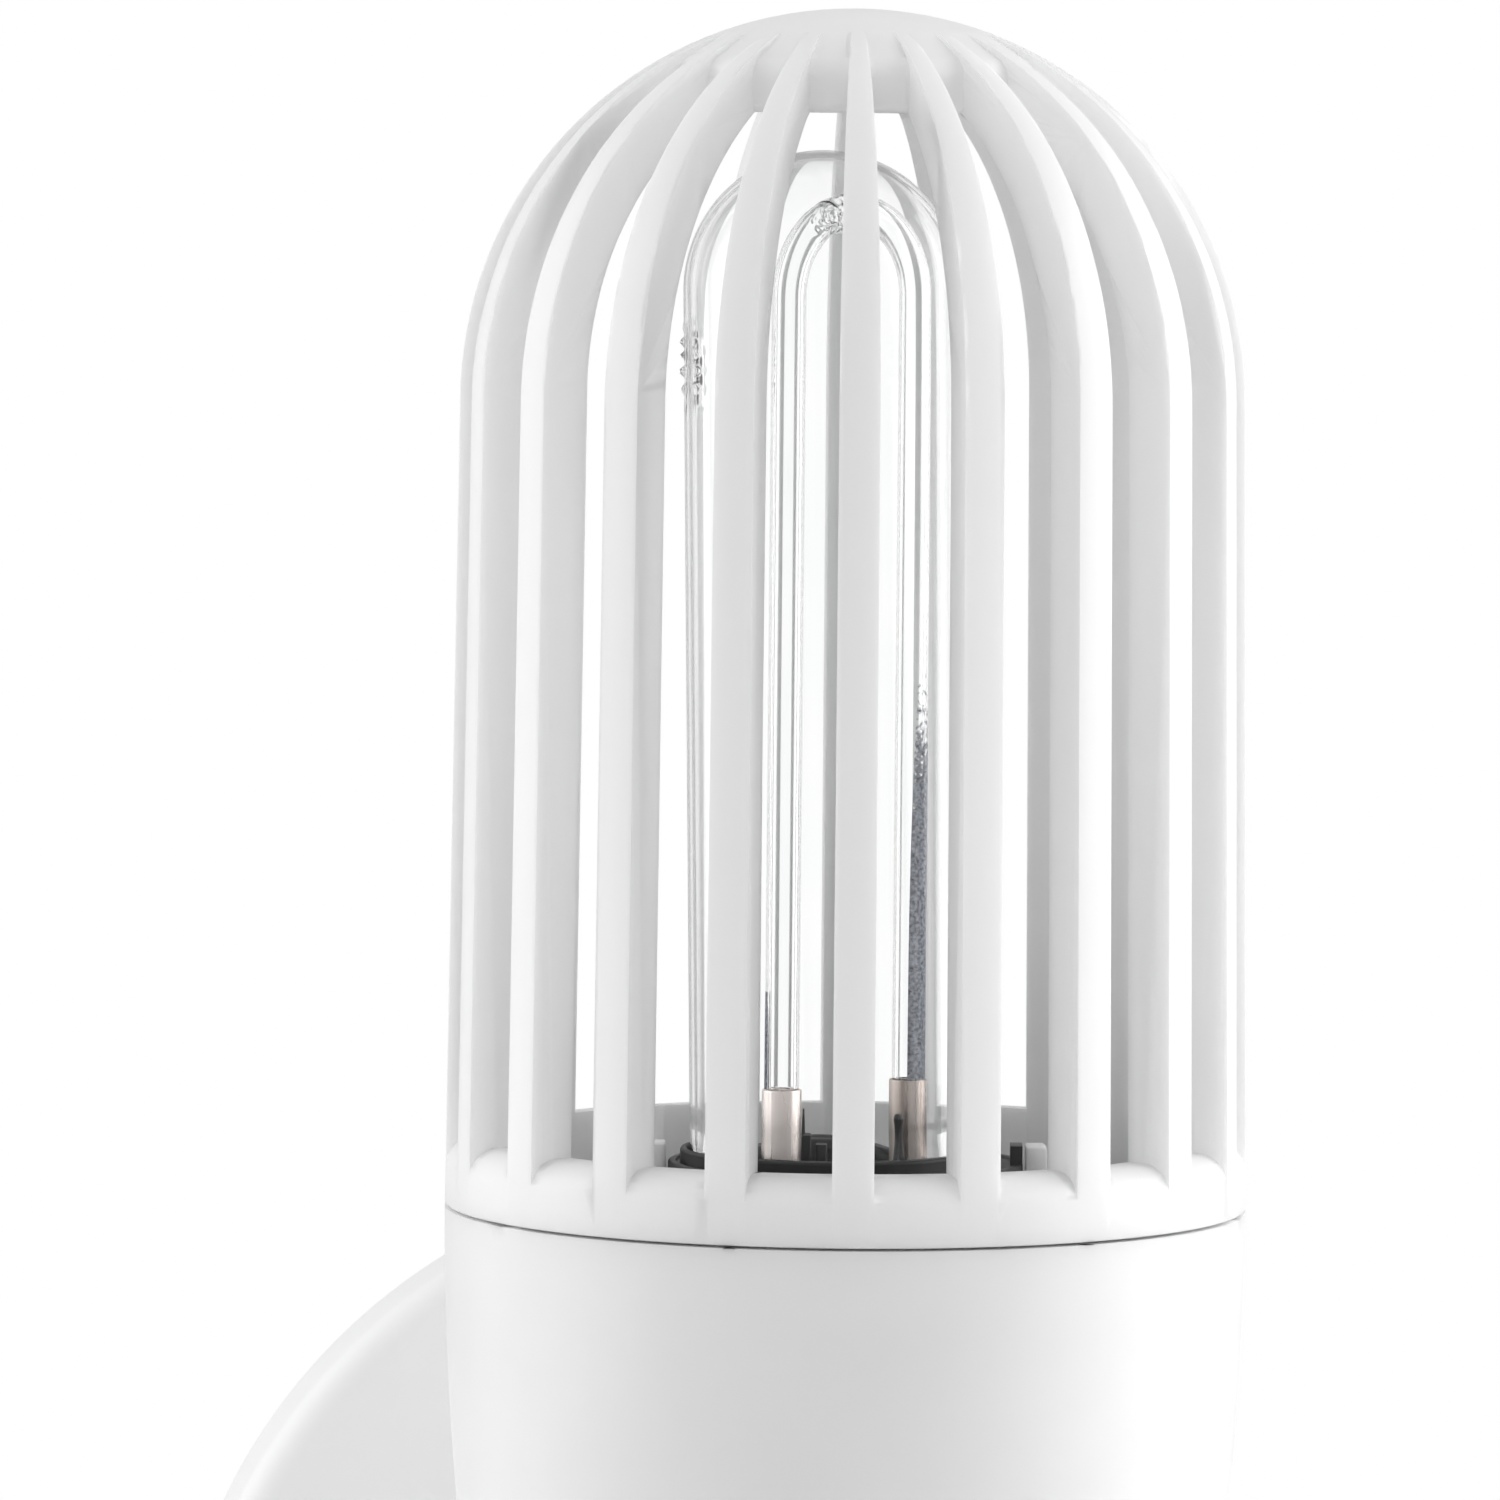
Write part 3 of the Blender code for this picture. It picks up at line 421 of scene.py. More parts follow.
def moulded(name, dark, light, rough_low, rough_high, grain=2600, depth=0.0):
    """Moulded plastic: slight cloudiness in the colour, uneven polish, a fine spark-eroded grain.

    Light passes about depth into a pale plastic.
    """
    material, shader, nodes, links = node_material(name)
    cloud = noise(nodes, links, 45)
    links.new(ramp(nodes, links, cloud, dark, light), shader.inputs["Base Color"])
    patch = noise(nodes, links, 160)
    polish = ramp(nodes, links, patch, grey(rough_low), grey(rough_high))
    links.new(polish, shader.inputs["Roughness"])
    bump(nodes, links, shader, noise(nodes, links, grain, 2), 0.10, 0.00004)
    shader.inputs["IOR"].default_value = 1.49
    if depth:
        evenly = {"Subsurface Weight": 0.8, "Subsurface Radius": (1, 1, 1)}
        set_inputs(shader, {**evenly, "Subsurface Scale": depth})
    return material


def metal(name, dark, light, rough_low, rough_high, stretch=(1, 1, 14), scale=420):
    """Drawn or brushed metal: streaks along one direction in colour, polish and relief."""
    material, shader, nodes, links = node_material(name)
    place = nodes.new("ShaderNodeTexCoord")
    mapping = nodes.new("ShaderNodeMapping")
    mapping.inputs["Scale"].default_value = [1 / s for s in stretch]
    texture = nodes.new("ShaderNodeTexNoise")
    set_inputs(texture, {"Scale": scale, "Detail": 4})
    links.new(place.outputs["Object"], mapping.inputs["Vector"])
    links.new(mapping.outputs["Vector"], texture.inputs["Vector"])
    streak = texture.outputs["Fac"]
    links.new(ramp(nodes, links, streak, dark, light), shader.inputs["Base Color"])
    polish = ramp(nodes, links, streak, grey(rough_low), grey(rough_high))
    links.new(polish, shader.inputs["Roughness"])
    bump(nodes, links, shader, streak, 0.15, 0.00003)
    shader.inputs["Metallic"].default_value = 1.0
    return material


def glass(name, tint, roughness=0.012):
    """Clear lamp glass, with the faintest drawn waviness."""
    material, shader, nodes, links = node_material(name)
    wave = noise(nodes, links, 90, 1)
    links.new(ramp(nodes, links, wave, tint, (1, 1, 1, 1)), shader.inputs["Base Color"])
    set_inputs(shader, {"Roughness": roughness, "IOR": 1.46, "Transmission Weight": 1.0})
    set_inputs(shader, {"Specular Tint": grey(0.25)})
    bump(nodes, links, shader, wave, 0.05, 0.0002)
    return material


def math_node(nodes, links, operation, first, second):
    step = nodes.new("ShaderNodeMath")
    step.operation = operation
    links.new(first, step.inputs[0])
    if isinstance(second, (int, float)):
        step.inputs[1].default_value = second
    else:
        links.new(second, step.inputs[1])
    return step.outputs[0]


def mottled_film(name, low, high):
    """A mottled grey-blue film on glass, thinning out towards its upper end."""
    material, shader, nodes, links = node_material(name)
    mottle = noise(nodes, links, 2200, 4)
    colours = ramp(nodes, links, mottle, (0.07, 0.08, 0.10, 1), (0.46, 0.48, 0.55, 1))
    links.new(colours, shader.inputs["Base Color"])
    place = nodes.new("ShaderNodeTexCoord")
    split = nodes.new("ShaderNodeSeparateXYZ")
    links.new(place.outputs["Object"], split.inputs["Vector"])
    fade = nodes.new("ShaderNodeMapRange")
    set_inputs(fade, {"From Min": low + (high - low) * 0.35, "From Max": high})
    set_inputs(fade, {"To Min": 0.35, "To Max": -0.35})
    links.new(split.outputs["Z"], fade.inputs["Value"])
    patch = noise(nodes, links, 1300, 4)
    cover = math_node(nodes, links, "ADD", patch, fade.outputs["Result"])
    cover = math_node(nodes, links, "SUBTRACT", cover, 0.36)
    cover = math_node(nodes, links, "MULTIPLY", cover, 5.0)
    cover.node.use_clamp = True
    links.new(cover, shader.inputs["Alpha"])
    shader.inputs["Roughness"].default_value = 0.55
    return material


WHITE = moulded(
    "white_plastic", (0.865, 0.865, 0.87, 1), (0.89, 0.89, 0.89, 1), 0.34, 0.42, depth=0.0025
)
# The cage's white is lighter than the body's: painted light, standing in for light that reaches the
# shaded sides of its ribs.
LIT_CAGE_WHITE = moulded(
    "cage_plastic_painted_light", (0.92, 0.92, 0.922, 1), (0.94, 0.94, 0.94, 1), 0.34, 0.42, depth=0.0032
)
BLACK = moulded("black_plastic", (0.012, 0.012, 0.013, 1), (0.028, 0.028, 0.03, 1), 0.38, 0.5, 1500)
BOARD = moulded("circuit_board_green", (0.02, 0.13, 0.06, 1), (0.04, 0.20, 0.09, 1), 0.35, 0.5, 900)
# The canopy's white is lighter than the other white plastic: painted light, standing in for the
# extra light the disc gets.
LIT_DISC_WHITE = moulded("canopy_plastic_painted_light", (0.95, 0.95, 0.952, 1), (0.965, 0.965, 0.965, 1), 0.36, 0.44)
RUBBER = moulded("black_rubber", (0.015, 0.015, 0.015, 1), (0.03, 0.03, 0.03, 1), 0.7, 0.85, 1200)
CERAMIC = moulded("cream_ceramic", (0.74, 0.71, 0.62, 1), (0.83, 0.80, 0.72, 1), 0.35, 0.6, 1400)
STEEL = metal("zinc_plated_steel", (0.50, 0.51, 0.53, 1), (0.66, 0.67, 0.69, 1), 0.24, 0.40)
# The cap metal's pinkish tint is a painted reflection; the metal itself is pale grey.
CAP_METAL = metal("tube_cap_metal", (0.60, 0.53, 0.50, 1), (0.80, 0.74, 0.71, 1), 0.18, 0.34)
# The far cap's darker, browner copy of the cap metal is painted shade and painted reflection; both
# caps are one metal.
CAP_PAINTED_SHADE = metal(
    "tube_cap_painted_shade", (0.26, 0.22, 0.20, 1), (0.54, 0.48, 0.44, 1), 0.22, 0.38, (1, 1, 30), 900
)
GLASS = glass("lamp_glass", (0.985, 0.99, 0.99, 1))


# --- Cage ---------------------------------------------------------------------------------------


def make_cage():
    """One moulding of upright ribs; its crown's wall shows in the slots, rounded at both ends."""
    inner_r, inner_dome = BODY_R - RIB_DEPTH, DOME_R - RIB_DEPTH
    roof = DOME_R - CROWN_T
    crown_meets = math.degrees(math.asin((CROWN_LOW - DOME_Z) / inner_dome))
    roof_meets = math.degrees(math.acos(CROWN_BORE_R / roof))
    foot = [
        (DOME_R, DOME_Z),
        (BODY_R, SEAM_Z + SEAM_GAP, 0.0003),
        (SKIRT_R, SEAM_Z + SEAM_GAP, 0.0003),
        (SKIRT_R, SKIRT_LOW, 0.0004),
        (inner_r, SKIRT_LOW, 0.0004),
        (inner_dome, DOME_Z),
    ]
    profile = arc((0, DOME_Z), DOME_R, 90, 0, 36)[:-1] + rounded(foot, 3)
    profile += arc((0, DOME_Z), inner_dome, 0, crown_meets, 28)[1:]
    profile += [(CROWN_BORE_R, CROWN_LOW)] + arc((0, DOME_Z), roof, roof_meets, 90, 16)
    profile[0] = (0, DOME_TOP)
    profile[-1] = (0, DOME_Z + roof)

    shoulder = SHOULDER_TOP - SHOULDER_LOW
    beyond_r, beyond_z = BODY_R + BEYOND, DOME_TOP + BEYOND
    lip = 0.0012
    cap_edge = (CAP_R, DOME_Z + math.sqrt(DOME_R**2 - CAP_R**2))
    crown = [(beyond_r, beyond_z), (CAP_R, beyond_z), cap_edge, (CROWN_R, CROWN_CORNER, 0.0032)]
    crown += [(CROWN_R, CROWN_LOW, lip * 0.98)]
    crown += [(CROWN_R - lip, CROWN_LOW), (CROWN_R - lip, SHOULDER_TOP)]
    slot = arc((BODY_R - shoulder, SHOULDER_LOW), shoulder, 90, 0, 10)
    slot += [(beyond_r, SHOULDER_LOW)] + rounded(crown, 8)
    slot_angle = 2 * math.pi / RIB_COUNT - RIB_ANGLE
    slots = wedges(slot, slot_angle, RIB_COUNT)
    mesh = carve(revolve(profile, 160), [(slots, "DIFFERENCE")], edge=0.00045)
    link("dome_cage", mesh, LIT_CAGE_WHITE, "cage", ["cage"])


# --- Body and tray ------------------------------------------------------------------------------


def neck_holes():
    """Name, radius and height of the bores that run from the body to the canopy."""
    return (
        ("cable_bore", NECK_BORE_R, NECK_Z),
        ("upper_screw", SCREW_HOLE_R, NECK_Z + NECK_SCREW_Z),
        ("lower_screw", SCREW_HOLE_R, NECK_Z - NECK_SCREW_Z),
    )


def make_body():
    """The tapering barrel, with the deck's screw bosses inside and the switch's hole in front."""
    outside, inside = side(BODY_LOW, SEAM_Z, 40), side(BODY_LOW, SEAM_Z, 20, BODY_WALL)
    shape = revolve(outside + inside[::-1], 192, True)
    cutters = []
    for angle in THIRDS:
        at = Matrix.Translation(round_at(DECK_SCREW_AT, angle))
        cutters.append((rod(BOSS_R, BOSS_LOW, DECK_LOW - GAP, 32, at), "UNION"))
        cutters.append((rod(DECK_SCREW_R + GAP, BOSS_LOW + 0.002, SEAM_Z, 24, at), "DIFFERENCE"))
    near, far = BODY_R / 2, BODY_R + BEYOND
    ahead = Matrix.Translation((0, 0, BUTTON_Z)) @ FORWARD
    cutters.append((rod(BUTTON_R + GAP, near, far, 64, ahead), "DIFFERENCE"))
    for _, radius, z in neck_holes():
        behind = Matrix.Translation((0, 0, z)) @ BACKWARD
        cutters.append((rod(radius, near, far, 32, behind), "DIFFERENCE"))
    mesh = carve(shape, cutters, edge=0.0004)
    link("body", mesh, WHITE, "housing", ["body_shell"])


def make_tray():
    """The cup that drops off to be emptied, with eight upright vents that end in half rounds."""
    top = BODY_LOW - SEAM_GAP
    floor = TRAY_LOW + TRAY_WALL
    spigot = body_radius(BODY_LOW) - BODY_WALL - 2 * GAP
    spigot_top = BODY_LOW + TRAY_SPIGOT
    foot_top = TRAY_LOW + TRAY_FOOT_R
    foot_centre = (body_radius(foot_top) - TRAY_FOOT_R, foot_top)
    floor_r = foot_centre[0] - TRAY_FOOT_R
    profile = [(0, floor), (floor_r, floor)]
    profile += arc((floor_r, floor + TRAY_FLOOR_R), TRAY_FLOOR_R, -90, -20, 6)[1:]
    profile += side(TRAY_LOW + TRAY_WALL_LOW, top, 12, TRAY_WALL + TRAY_THICKER)[::-1]
    profile += [(spigot - TRAY_WALL, spigot_top), (spigot, spigot_top), (spigot, top)]
    profile += side(foot_top, top, 24)
    profile += arc(foot_centre, TRAY_FOOT_R, 0, -90, 12)[1:]
    profile += [(0, TRAY_LOW)]
    half, straight = VENT_WIDTH / 2, (VENT_TOP - VENT_LOW - VENT_WIDTH) / 2
    vent = arc((0, straight), half, 0, 180, 12) + arc((0, -straight), half, 180, 360, 12)
    cutters = []
    for k in range(VENTS):
        turn = Matrix.Rotation(2 * math.pi * k / VENTS, 4, "Z")
        at = Matrix.Translation((0, 0, (VENT_LOW + VENT_TOP) / 2))
        cutter = prism(vent, BODY_R / 4, BODY_R + BEYOND, turn @ at @ FORWARD)
        cutters.append((cutter, "DIFFERENCE"))
    mesh = carve(revolve(profile, 192), cutters, edge=0.0005)
    link("tray", mesh, WHITE, "tray", ["collection_tray"])


def make_button():
    """A push button with a dished face and a soft edge."""
    face = body_radius(BUTTON_Z) + BUTTON_PROUD
    flange = body_radius(BUTTON_Z) - BODY_WALL - 2 * GAP
    dish, stem, stem_low = BUTTON_R - BUTTON_LIP, BUTTON_R - BUTTON_STEM, flange - BUTTON_STEM
    across = [1 - k / 8 for k in range(8, -1, -1)]
    profile = [(dish * part, face - BUTTON_DISH * (1 - part**2)) for part in across]
    edge = [(dish, face), (BUTTON_R, face, 0.0009), (BUTTON_R, flange, 0.0002)]
    edge += [(stem, flange), (stem, stem_low), (0, stem_low)]
    mesh = to_mesh(revolve(profile[:-1] + rounded(edge, 6), 96), "push_button")
    place = ON_AXIS @ Matrix.Translation((0, 0, BUTTON_Z)) @ FORWARD
    link("push_button", mesh, WHITE, "button", ["switch_button"], place=place)


# --- Lamp ---------------------------------------------------------------------------------------


def make_base():
    """The black disc under the lamp: a stepped rim, rings round the jacket's foot, an upstand."""
    low, top = DECK_LOW + DECK_T + GAP, BASE_TOP
    plug_low = DECK_LOW + 0.0002
    seat = JACKET_R + 0.0012
    profile = [
        (0, top),
        (seat + 0.0010, top),
        (seat + 0.0016, top - BASE_STEP),
        (BASE_R - 0.0012, top - BASE_STEP, 0.0002),
        (BASE_R - 0.0010, top, 0.0001),
        (BASE_R, top, 0.0004),
        (BASE_R, low, 0.0006),
        (BASE_PLUG_R, low, 0.0004),
        (BASE_PLUG_R, plug_low, 0.0008),
        (0, plug_low),
    ]
    reach = BASE_R - 0.0001
    upstand = rectangle(reach - UPSTAND_T, reach, CLIP_WIDTH / 2)
    block = prism(upstand, top - 0.002, CLIP_TOP, Matrix.Rotation(VIEW_ANGLE, 4, "Z"))
    bore, outside = JACKET_R - JACKET_WALL - GAP, JACKET_R + GAP
    collar = Matrix.Translation(round_at(-JACKET_SHIFT, VIEW_ANGLE))
    parts = [(block, "UNION")]
    for near, far in ((bore - COLLAR_T, bore), (outside, outside + COLLAR_T)):
        lip = COLLAR_T * 0.45
        wall = [(near, top - 0.0005), (near, top + COLLAR_RISE, lip), (far, top + COLLAR_RISE, lip)]
        wall += [(far, top - 0.0005)]
        ring = revolve(rounded(wall, 5), 160, True)
        ring.transform(collar)
        parts.append((ring, "UNION"))
    mesh = carve(revolve(rounded(profile, 4), 160), parts, edge=0.00018, angle=50)
    link("lamp_pedestal", mesh, BLACK, "housing", ["lamp_base"])


def make_clips():
    """White lugs outside the disc, on the line across the view, each with a rounded head."""
    low = DECK_LOW + DECK_T + GAP
    near, far = BASE_R + GAP, BASE_R + GAP + CLIP_T
    for name, angle in (("right", VIEW_ANGLE), ("left", VIEW_ANGLE + math.pi)):
        outline = [(near, low), (far, low)]
        outline += [(far, CLIP_TOP, 0.0008), (near, CLIP_TOP, 0.0003), (near, low)]
        turn = Matrix.Rotation(angle, 4, "Z") @ FORWARD
        lug = prism(rounded(outline, 4)[:-1], -CLIP_WIDTH / 2, CLIP_WIDTH / 2, turn)
        mesh = carve(lug, [], edge=0.0003)
        link(f"clip_{name}", mesh, WHITE, "housing", [f"lamp_clip_{name}"])


def make_jacket():
    """The clear dome over the tube: an even wall, a fire-rounded foot and two worked places."""
    lean_axis = Vector((-math.sin(VIEW_ANGLE), math.cos(VIEW_ANGLE), 0))
    foot = round_at(-JACKET_SHIFT, VIEW_ANGLE, BASE_TOP + 2 * GAP)
    height = JACKET_TOP - foot.z
    inner = JACKET_R - JACKET_WALL
    spring = height - JACKET_R
    wall_r = (JACKET_R + inner) / 2
    fine = 0.018
    rows = [spring - fine * k / 45 for k in range(1, 46)]
    rows += [(spring - fine) * (1 - k / 20) for k in range(1, 20)]
    profile = arc((0, spring), JACKET_R, 90, 0, 32)
    profile += [(JACKET_R, z) for z in rows]
    profile += arc((wall_r, JACKET_WALL / 2), JACKET_WALL / 2, 0, -180, 8)
    profile += [(inner, z) for z in rows[::-1]]
    profile += arc((0, spring), inner, 0, 90, 32)
    profile[0] = (0, height)
    profile[-1] = (0, spring + inner)
    shape = revolve(profile, 240)
    for angle, z, size, depth in JACKET_MARKS:
        ripple(shape, round_at(wall_r, angle, z - foot.z), size, depth)
    shape.transform(Matrix.Translation(foot) @ Matrix.Rotation(-JACKET_LEAN, 4, lean_axis))
    mesh = to_mesh(shape, "glass_jacket")
    link("glass_jacket", mesh, GLASS, "housing", ["lamp_jacket"], sharp=60)


def ripple(shape, centre, size, depth):
    """Small ripples that die away from a point, as where a glass worker heated the wall."""
    shape.normal_update()
    for vert, normal in [(v, v.normal.copy()) for v in shape.verts]:
        away = vert.co - centre
        near = math.exp(-(away.length / size) ** 2)
        if near > 0.01:
            swell = math.sin(away.z / size * 7.0)
            swell += 0.7 * math.sin((away.x + away.y) / size * 7.0 + 1.0)
            vert.co += normal * depth * near * swell


def bend_path():
    """The middle line of the bent tube, as (distance along the lamp's plane, height)."""
    bend = TUBE_TOP - TUBE_R - LEG_HALF
    low = CAP_TOP + GAP / 2
    straight = [(-LEG_HALF, low + (bend - low) * k / 40) for k in range(40)]
    over = [(-x, z) for x, z in arc((0, bend), LEG_HALF, 0, 180, 110)]
    down = [(-x, z) for x, z in straight[::-1]]
    return straight + over + down


def make_tube():
    """The bent quartz tube, hollow from end to end, with a thickened place inside its bend."""
    across = Vector((math.cos(LAMP_ANGLE), math.sin(LAMP_ANGLE), 0))
    normal = Vector((-math.sin(LAMP_ANGLE), math.cos(LAMP_ANGLE), 0))
    points = [across * x + Vector((0, 0, z)) for x, z in bend_path()]
    shape = bmesh.new()
    rings = {}
    steps = 40
    for radius in (TUBE_R, TUBE_BORE_R):
        for i, point in enumerate(points):
            along = (points[min(i + 1, len(points) - 1)] - points[max(i - 1, 0)]).normalized()
            out = along.cross(normal)
            spokes = [
                normal * math.cos(2 * math.pi * k / steps) + out * math.sin(2 * math.pi * k / steps)
                for k in range(steps)
            ]
            rings[radius, i] = [shape.verts.new(point + spoke * radius) for spoke in spokes]
    last = len(points) - 1
    strips = [(rings[TUBE_R, i], rings[TUBE_R, i + 1]) for i in range(last)]
    strips += [(rings[TUBE_BORE_R, i + 1], rings[TUBE_BORE_R, i]) for i in range(last)]
    strips += [(rings[TUBE_BORE_R, 0], rings[TUBE_R, 0])]
    strips += [(rings[TUBE_R, last], rings[TUBE_BORE_R, last])]
    for first, second in strips:
        join(shape, first, second)
    bmesh.ops.recalc_face_normals(shape, faces=shape.faces)
    ripple(shape, across * TUBE_MARK[0] + Vector((0, 0, TUBE_MARK[1])), 0.0020, 0.00042)
    mesh = to_mesh(shape, "bent_tube")
    link("bent_tube", mesh, GLASS, "housing", ["uv_tube"], sharp=60)


def make_film(name, leg, centre, spread, high):
    """A thin mottled film on a leg of the tube, narrowing towards its top."""
    at = round_at(leg * LEG_HALF, LAMP_ANGLE)
    low, outer, inner = CAP_TOP, TUBE_R + 0.00007, TUBE_R + 0.00002
    shape = bmesh.new()
    steps, rows = 16, 24
    grid = {}
    for row in range(rows + 1):
        up = row / rows
        width = spread * (1 - 0.75 * up**3)
        for k in range(steps + 1):
            angle = centre + width * (k / steps - 0.5)
            for layer, radius in ((0, outer), (1, inner)):
                spot = round_at(radius, angle, low + (high - low) * up)
                grid[layer, row, k] = shape.verts.new(at + spot)
    for row in range(rows):
        for k in range(steps):
            for layer in (0, 1):
                corners = [grid[layer, row, k], grid[layer, row, k + 1]]
                corners += [grid[layer, row + 1, k + 1], grid[layer, row + 1, k]]
                shape.faces.new(corners)
        for k in (0, steps):
            corners = [grid[0, row, k], grid[1, row, k], grid[1, row + 1, k], grid[0, row + 1, k]]
            shape.faces.new(corners)
    for row in (0, rows):
        for k in range(steps):
            corners = [grid[0, row, k], grid[0, row, k + 1], grid[1, row, k + 1], grid[1, row, k]]
            shape.faces.new(corners)
    bmesh.ops.recalc_face_normals(shape, faces=shape.faces)
    mesh = to_mesh(shape, name)
    link(name, mesh, mottled_film(name + "_deposit", low, high), "housing")


def make_caps():
    """Drawn metal sleeves on the tube's ends, each with an open mouth and a turned-in foot."""
    low, top = BASE_TOP + GAP, CAP_TOP
    mouth = TUBE_R - 0.0001
    # The far cap takes the darker copy of the cap metal, which is painted shade and reflection.
    for name, sign, finish in (("near", -1, CAP_METAL), ("far", 1, CAP_PAINTED_SHADE)):
        profile = [
            (mouth, top - 0.0012),
            (mouth, top, 0.0001),
            (CAP_SLEEVE_R, top, 0.00025),
            (CAP_SLEEVE_R, low + 0.0009, 0.0002),
            (CAP_SLEEVE_R - 0.0003, low, 0.0001),
            (0, low),
        ]
        sleeve, replaced = f"tube_sleeve_{name}", f"tube_cap_{name}"
        mesh = to_mesh(revolve([(0, top - 0.0012)] + rounded(profile, 4), 96), sleeve)
        place = ON_AXIS @ Matrix.Translation(round_at(sign * LEG_HALF, LAMP_ANGLE))
        link(sleeve, mesh, finish, "housing", [replaced], place=place)


def make_contacts():
    """Small black bits on the disc: two lead clamps, one with a pin, and the tube's stay."""
    seat = BASE_TOP + GAP
    turn = Matrix.Rotation(VIEW_ANGLE, 4, "Z")
    for name, width, depth, height, along in CLAMPS:
        outline = rounded_rectangle(width, depth, 0.0003, 3)
        notch = rectangle(-width, width, CLAMP_NOTCH_HALF)
        cutter = prism(notch, height - CLAMP_NOTCH_DEPTH, height + 0.001)
        shape = prism(outline, 0, height)
        cutters = [(cutter, "DIFFERENCE")]
        if name == "large":
            root = height - 0.0012
            tip = height + CLAMP_PIN
            spike = [(0, tip), (0.00012, height + 0.0033), (0.00028, root), (0, root)]
            cutters.append((revolve(spike, 16), "UNION"))
        mesh = carve(shape, cutters, edge=0.00012)
        place = ON_AXIS @ Matrix.Translation(round_at(along, VIEW_ANGLE, seat)) @ turn
        replaced = [f"lead_clamp_{name}"]
        link(f"contact_{name}", mesh, BLACK, "housing", replaced, place=place)
    post = [
        (0, 0.0060),
        (0.0005, 0.0059),
        (0.00072, 0.0053, 0.0003),
        (0.00055, 0.0044, 0.0004),
        (0.00050, 0.0030, 0.0008),
        (0.00085, 0.0008, 0.0006),
        (0.0011, 0.0),
        (0, 0.0),
    ]
    mesh = to_mesh(revolve(rounded(post, 4), 32), "tube_peg")
    place = ON_AXIS @ Matrix.Translation(round_at(STAY_ALONG, VIEW_ANGLE, seat))
    link("tube_peg", mesh, BLACK, "housing", ["tube_stay"], place=place)


def make_deck():
    """The spoked plate that carries the lamp, on three posts and three screws."""
    outlines = [circle(DECK_R, steps=160), circle(BASE_PLUG_R + 0.0005, steps=64)]
    for k in range(DECK_SPOKES):
        facing = 2 * math.pi * k / DECK_SPOKES
        outlines.append(sector(DECK_HUB_R, DECK_WINDOW_R, facing, SPOKE_WIDTH, DECK_SPOKES, 14))
    for angle in THIRDS:
        at = round_at(DECK_SCREW_AT, angle)
        outlines.append(circle(DECK_SCREW_R + 2 * GAP, at[:2], 32))
    posts = []
    for angle in POST_ANGLES:
        at = Matrix.Translation(round_at(POST_RADIUS_AT, angle))
        posts.append((rod(POST_R, GROUND_GRID_Z + GRID_T + GAP, DECK_LOW + 0.001, 32, at), "UNION"))
    mesh = carve(plate(outlines, DECK_LOW, DECK_T), posts, edge=0.00035)
    link("spoked_deck", mesh, WHITE, "housing", ["lamp_deck"])
    screw = (SMALL_HEAD, DECK_SCREW_R, DECK_SCREW_LENGTH)
    seat = DECK_LOW + DECK_T + GAP
    for k, angle in enumerate(THIRDS):
        place = ON_AXIS @ Matrix.Translation(round_at(DECK_SCREW_AT, angle, seat))
        make_screw(f"deck_screw_head_{k + 1}", *screw, place, f"deck_screw_{k + 1}")


# --- Screws -------------------------------------------------------------------------------------


def make_screw(name, head, shank, length, place, replaced):
    """A pan-head screw with a cross recess and a threaded shank, its head on the place's plane."""
    radius, rise = head
    profile = [(0, rise), (radius * 0.55, rise * 0.97), (radius * 0.86, rise * 0.72)]
    profile += [(radius, rise * 0.30), (radius, 0.0)]
    turns = int(length / 0.0007)
    for k in range(turns):
        z = -length * (k + 0.15) / turns
        profile += [(shank * 0.82, z), (shank, z - length * 0.35 / turns)]
    profile += [(shank * 0.8, -length * 0.985), (0, -length)]
    arm, half = radius * 0.62, radius * 0.11
    cutters = []
    for angle in (0, 90):
        turn = Matrix.Rotation(math.radians(angle + 20), 4, "Z")
        recess = prism(rectangle(-arm, arm, half), rise * 0.35, rise * 1.5, turn)
        cutters.append((recess, "DIFFERENCE"))
    mesh = carve(revolve(profile, 48), cutters, edge=0.00006, segments=2)
    link(name, mesh, STEEL, "housing", [replaced], place=place)


# --- Killing grid and fan -----------------------------------------------------------------------


def make_grids():
    for name, low in (("ground", GROUND_GRID_Z), ("live", LIVE_GRID_Z)):
        outlines = [circle(GRID_R, steps=160), circle(GRID_BORE_R, steps=96)]
        for k in range(GRID_BARS):
            facing = 2 * math.pi * k / GRID_BARS
            for row_low, row_high in GRID_ROWS:
                outlines.append(sector(row_low, row_high, facing, GRID_BAR_WIDTH, GRID_BARS, 16))
        mesh = carve(plate(outlines, low, GRID_T), [], edge=0.00015, segments=2)
        link(f"{name}_grille", mesh, STEEL, "housing", [f"grid_{name}"])
    low, high = LIVE_GRID_Z + GRID_T + GAP, GROUND_GRID_Z - GAP
    flange, waist, half_way = POST_R + 0.0006, POST_R - 0.0004, (low + high) / 2
    spool = [(0, high), (flange, high, 0.0004), (flange, high - 0.0012, 0.0003)]
    spool += [(waist, half_way + 0.0008), (waist, half_way - 0.0008)]
    spool += [(flange, low + 0.0012, 0.0003), (flange, low, 0.0004), (0, low)]
    for k, angle in enumerate(POST_ANGLES):
        mesh = to_mesh(revolve(rounded(spool, 5), 64), "spool")
        name, replaced = f"ceramic_spool_{k + 1}", f"grid_insulator_{k + 1}"
        place = ON_AXIS @ Matrix.Translation(round_at(POST_RADIUS_AT, angle))
        link(name, mesh, CERAMIC, "housing", [replaced], place=place)


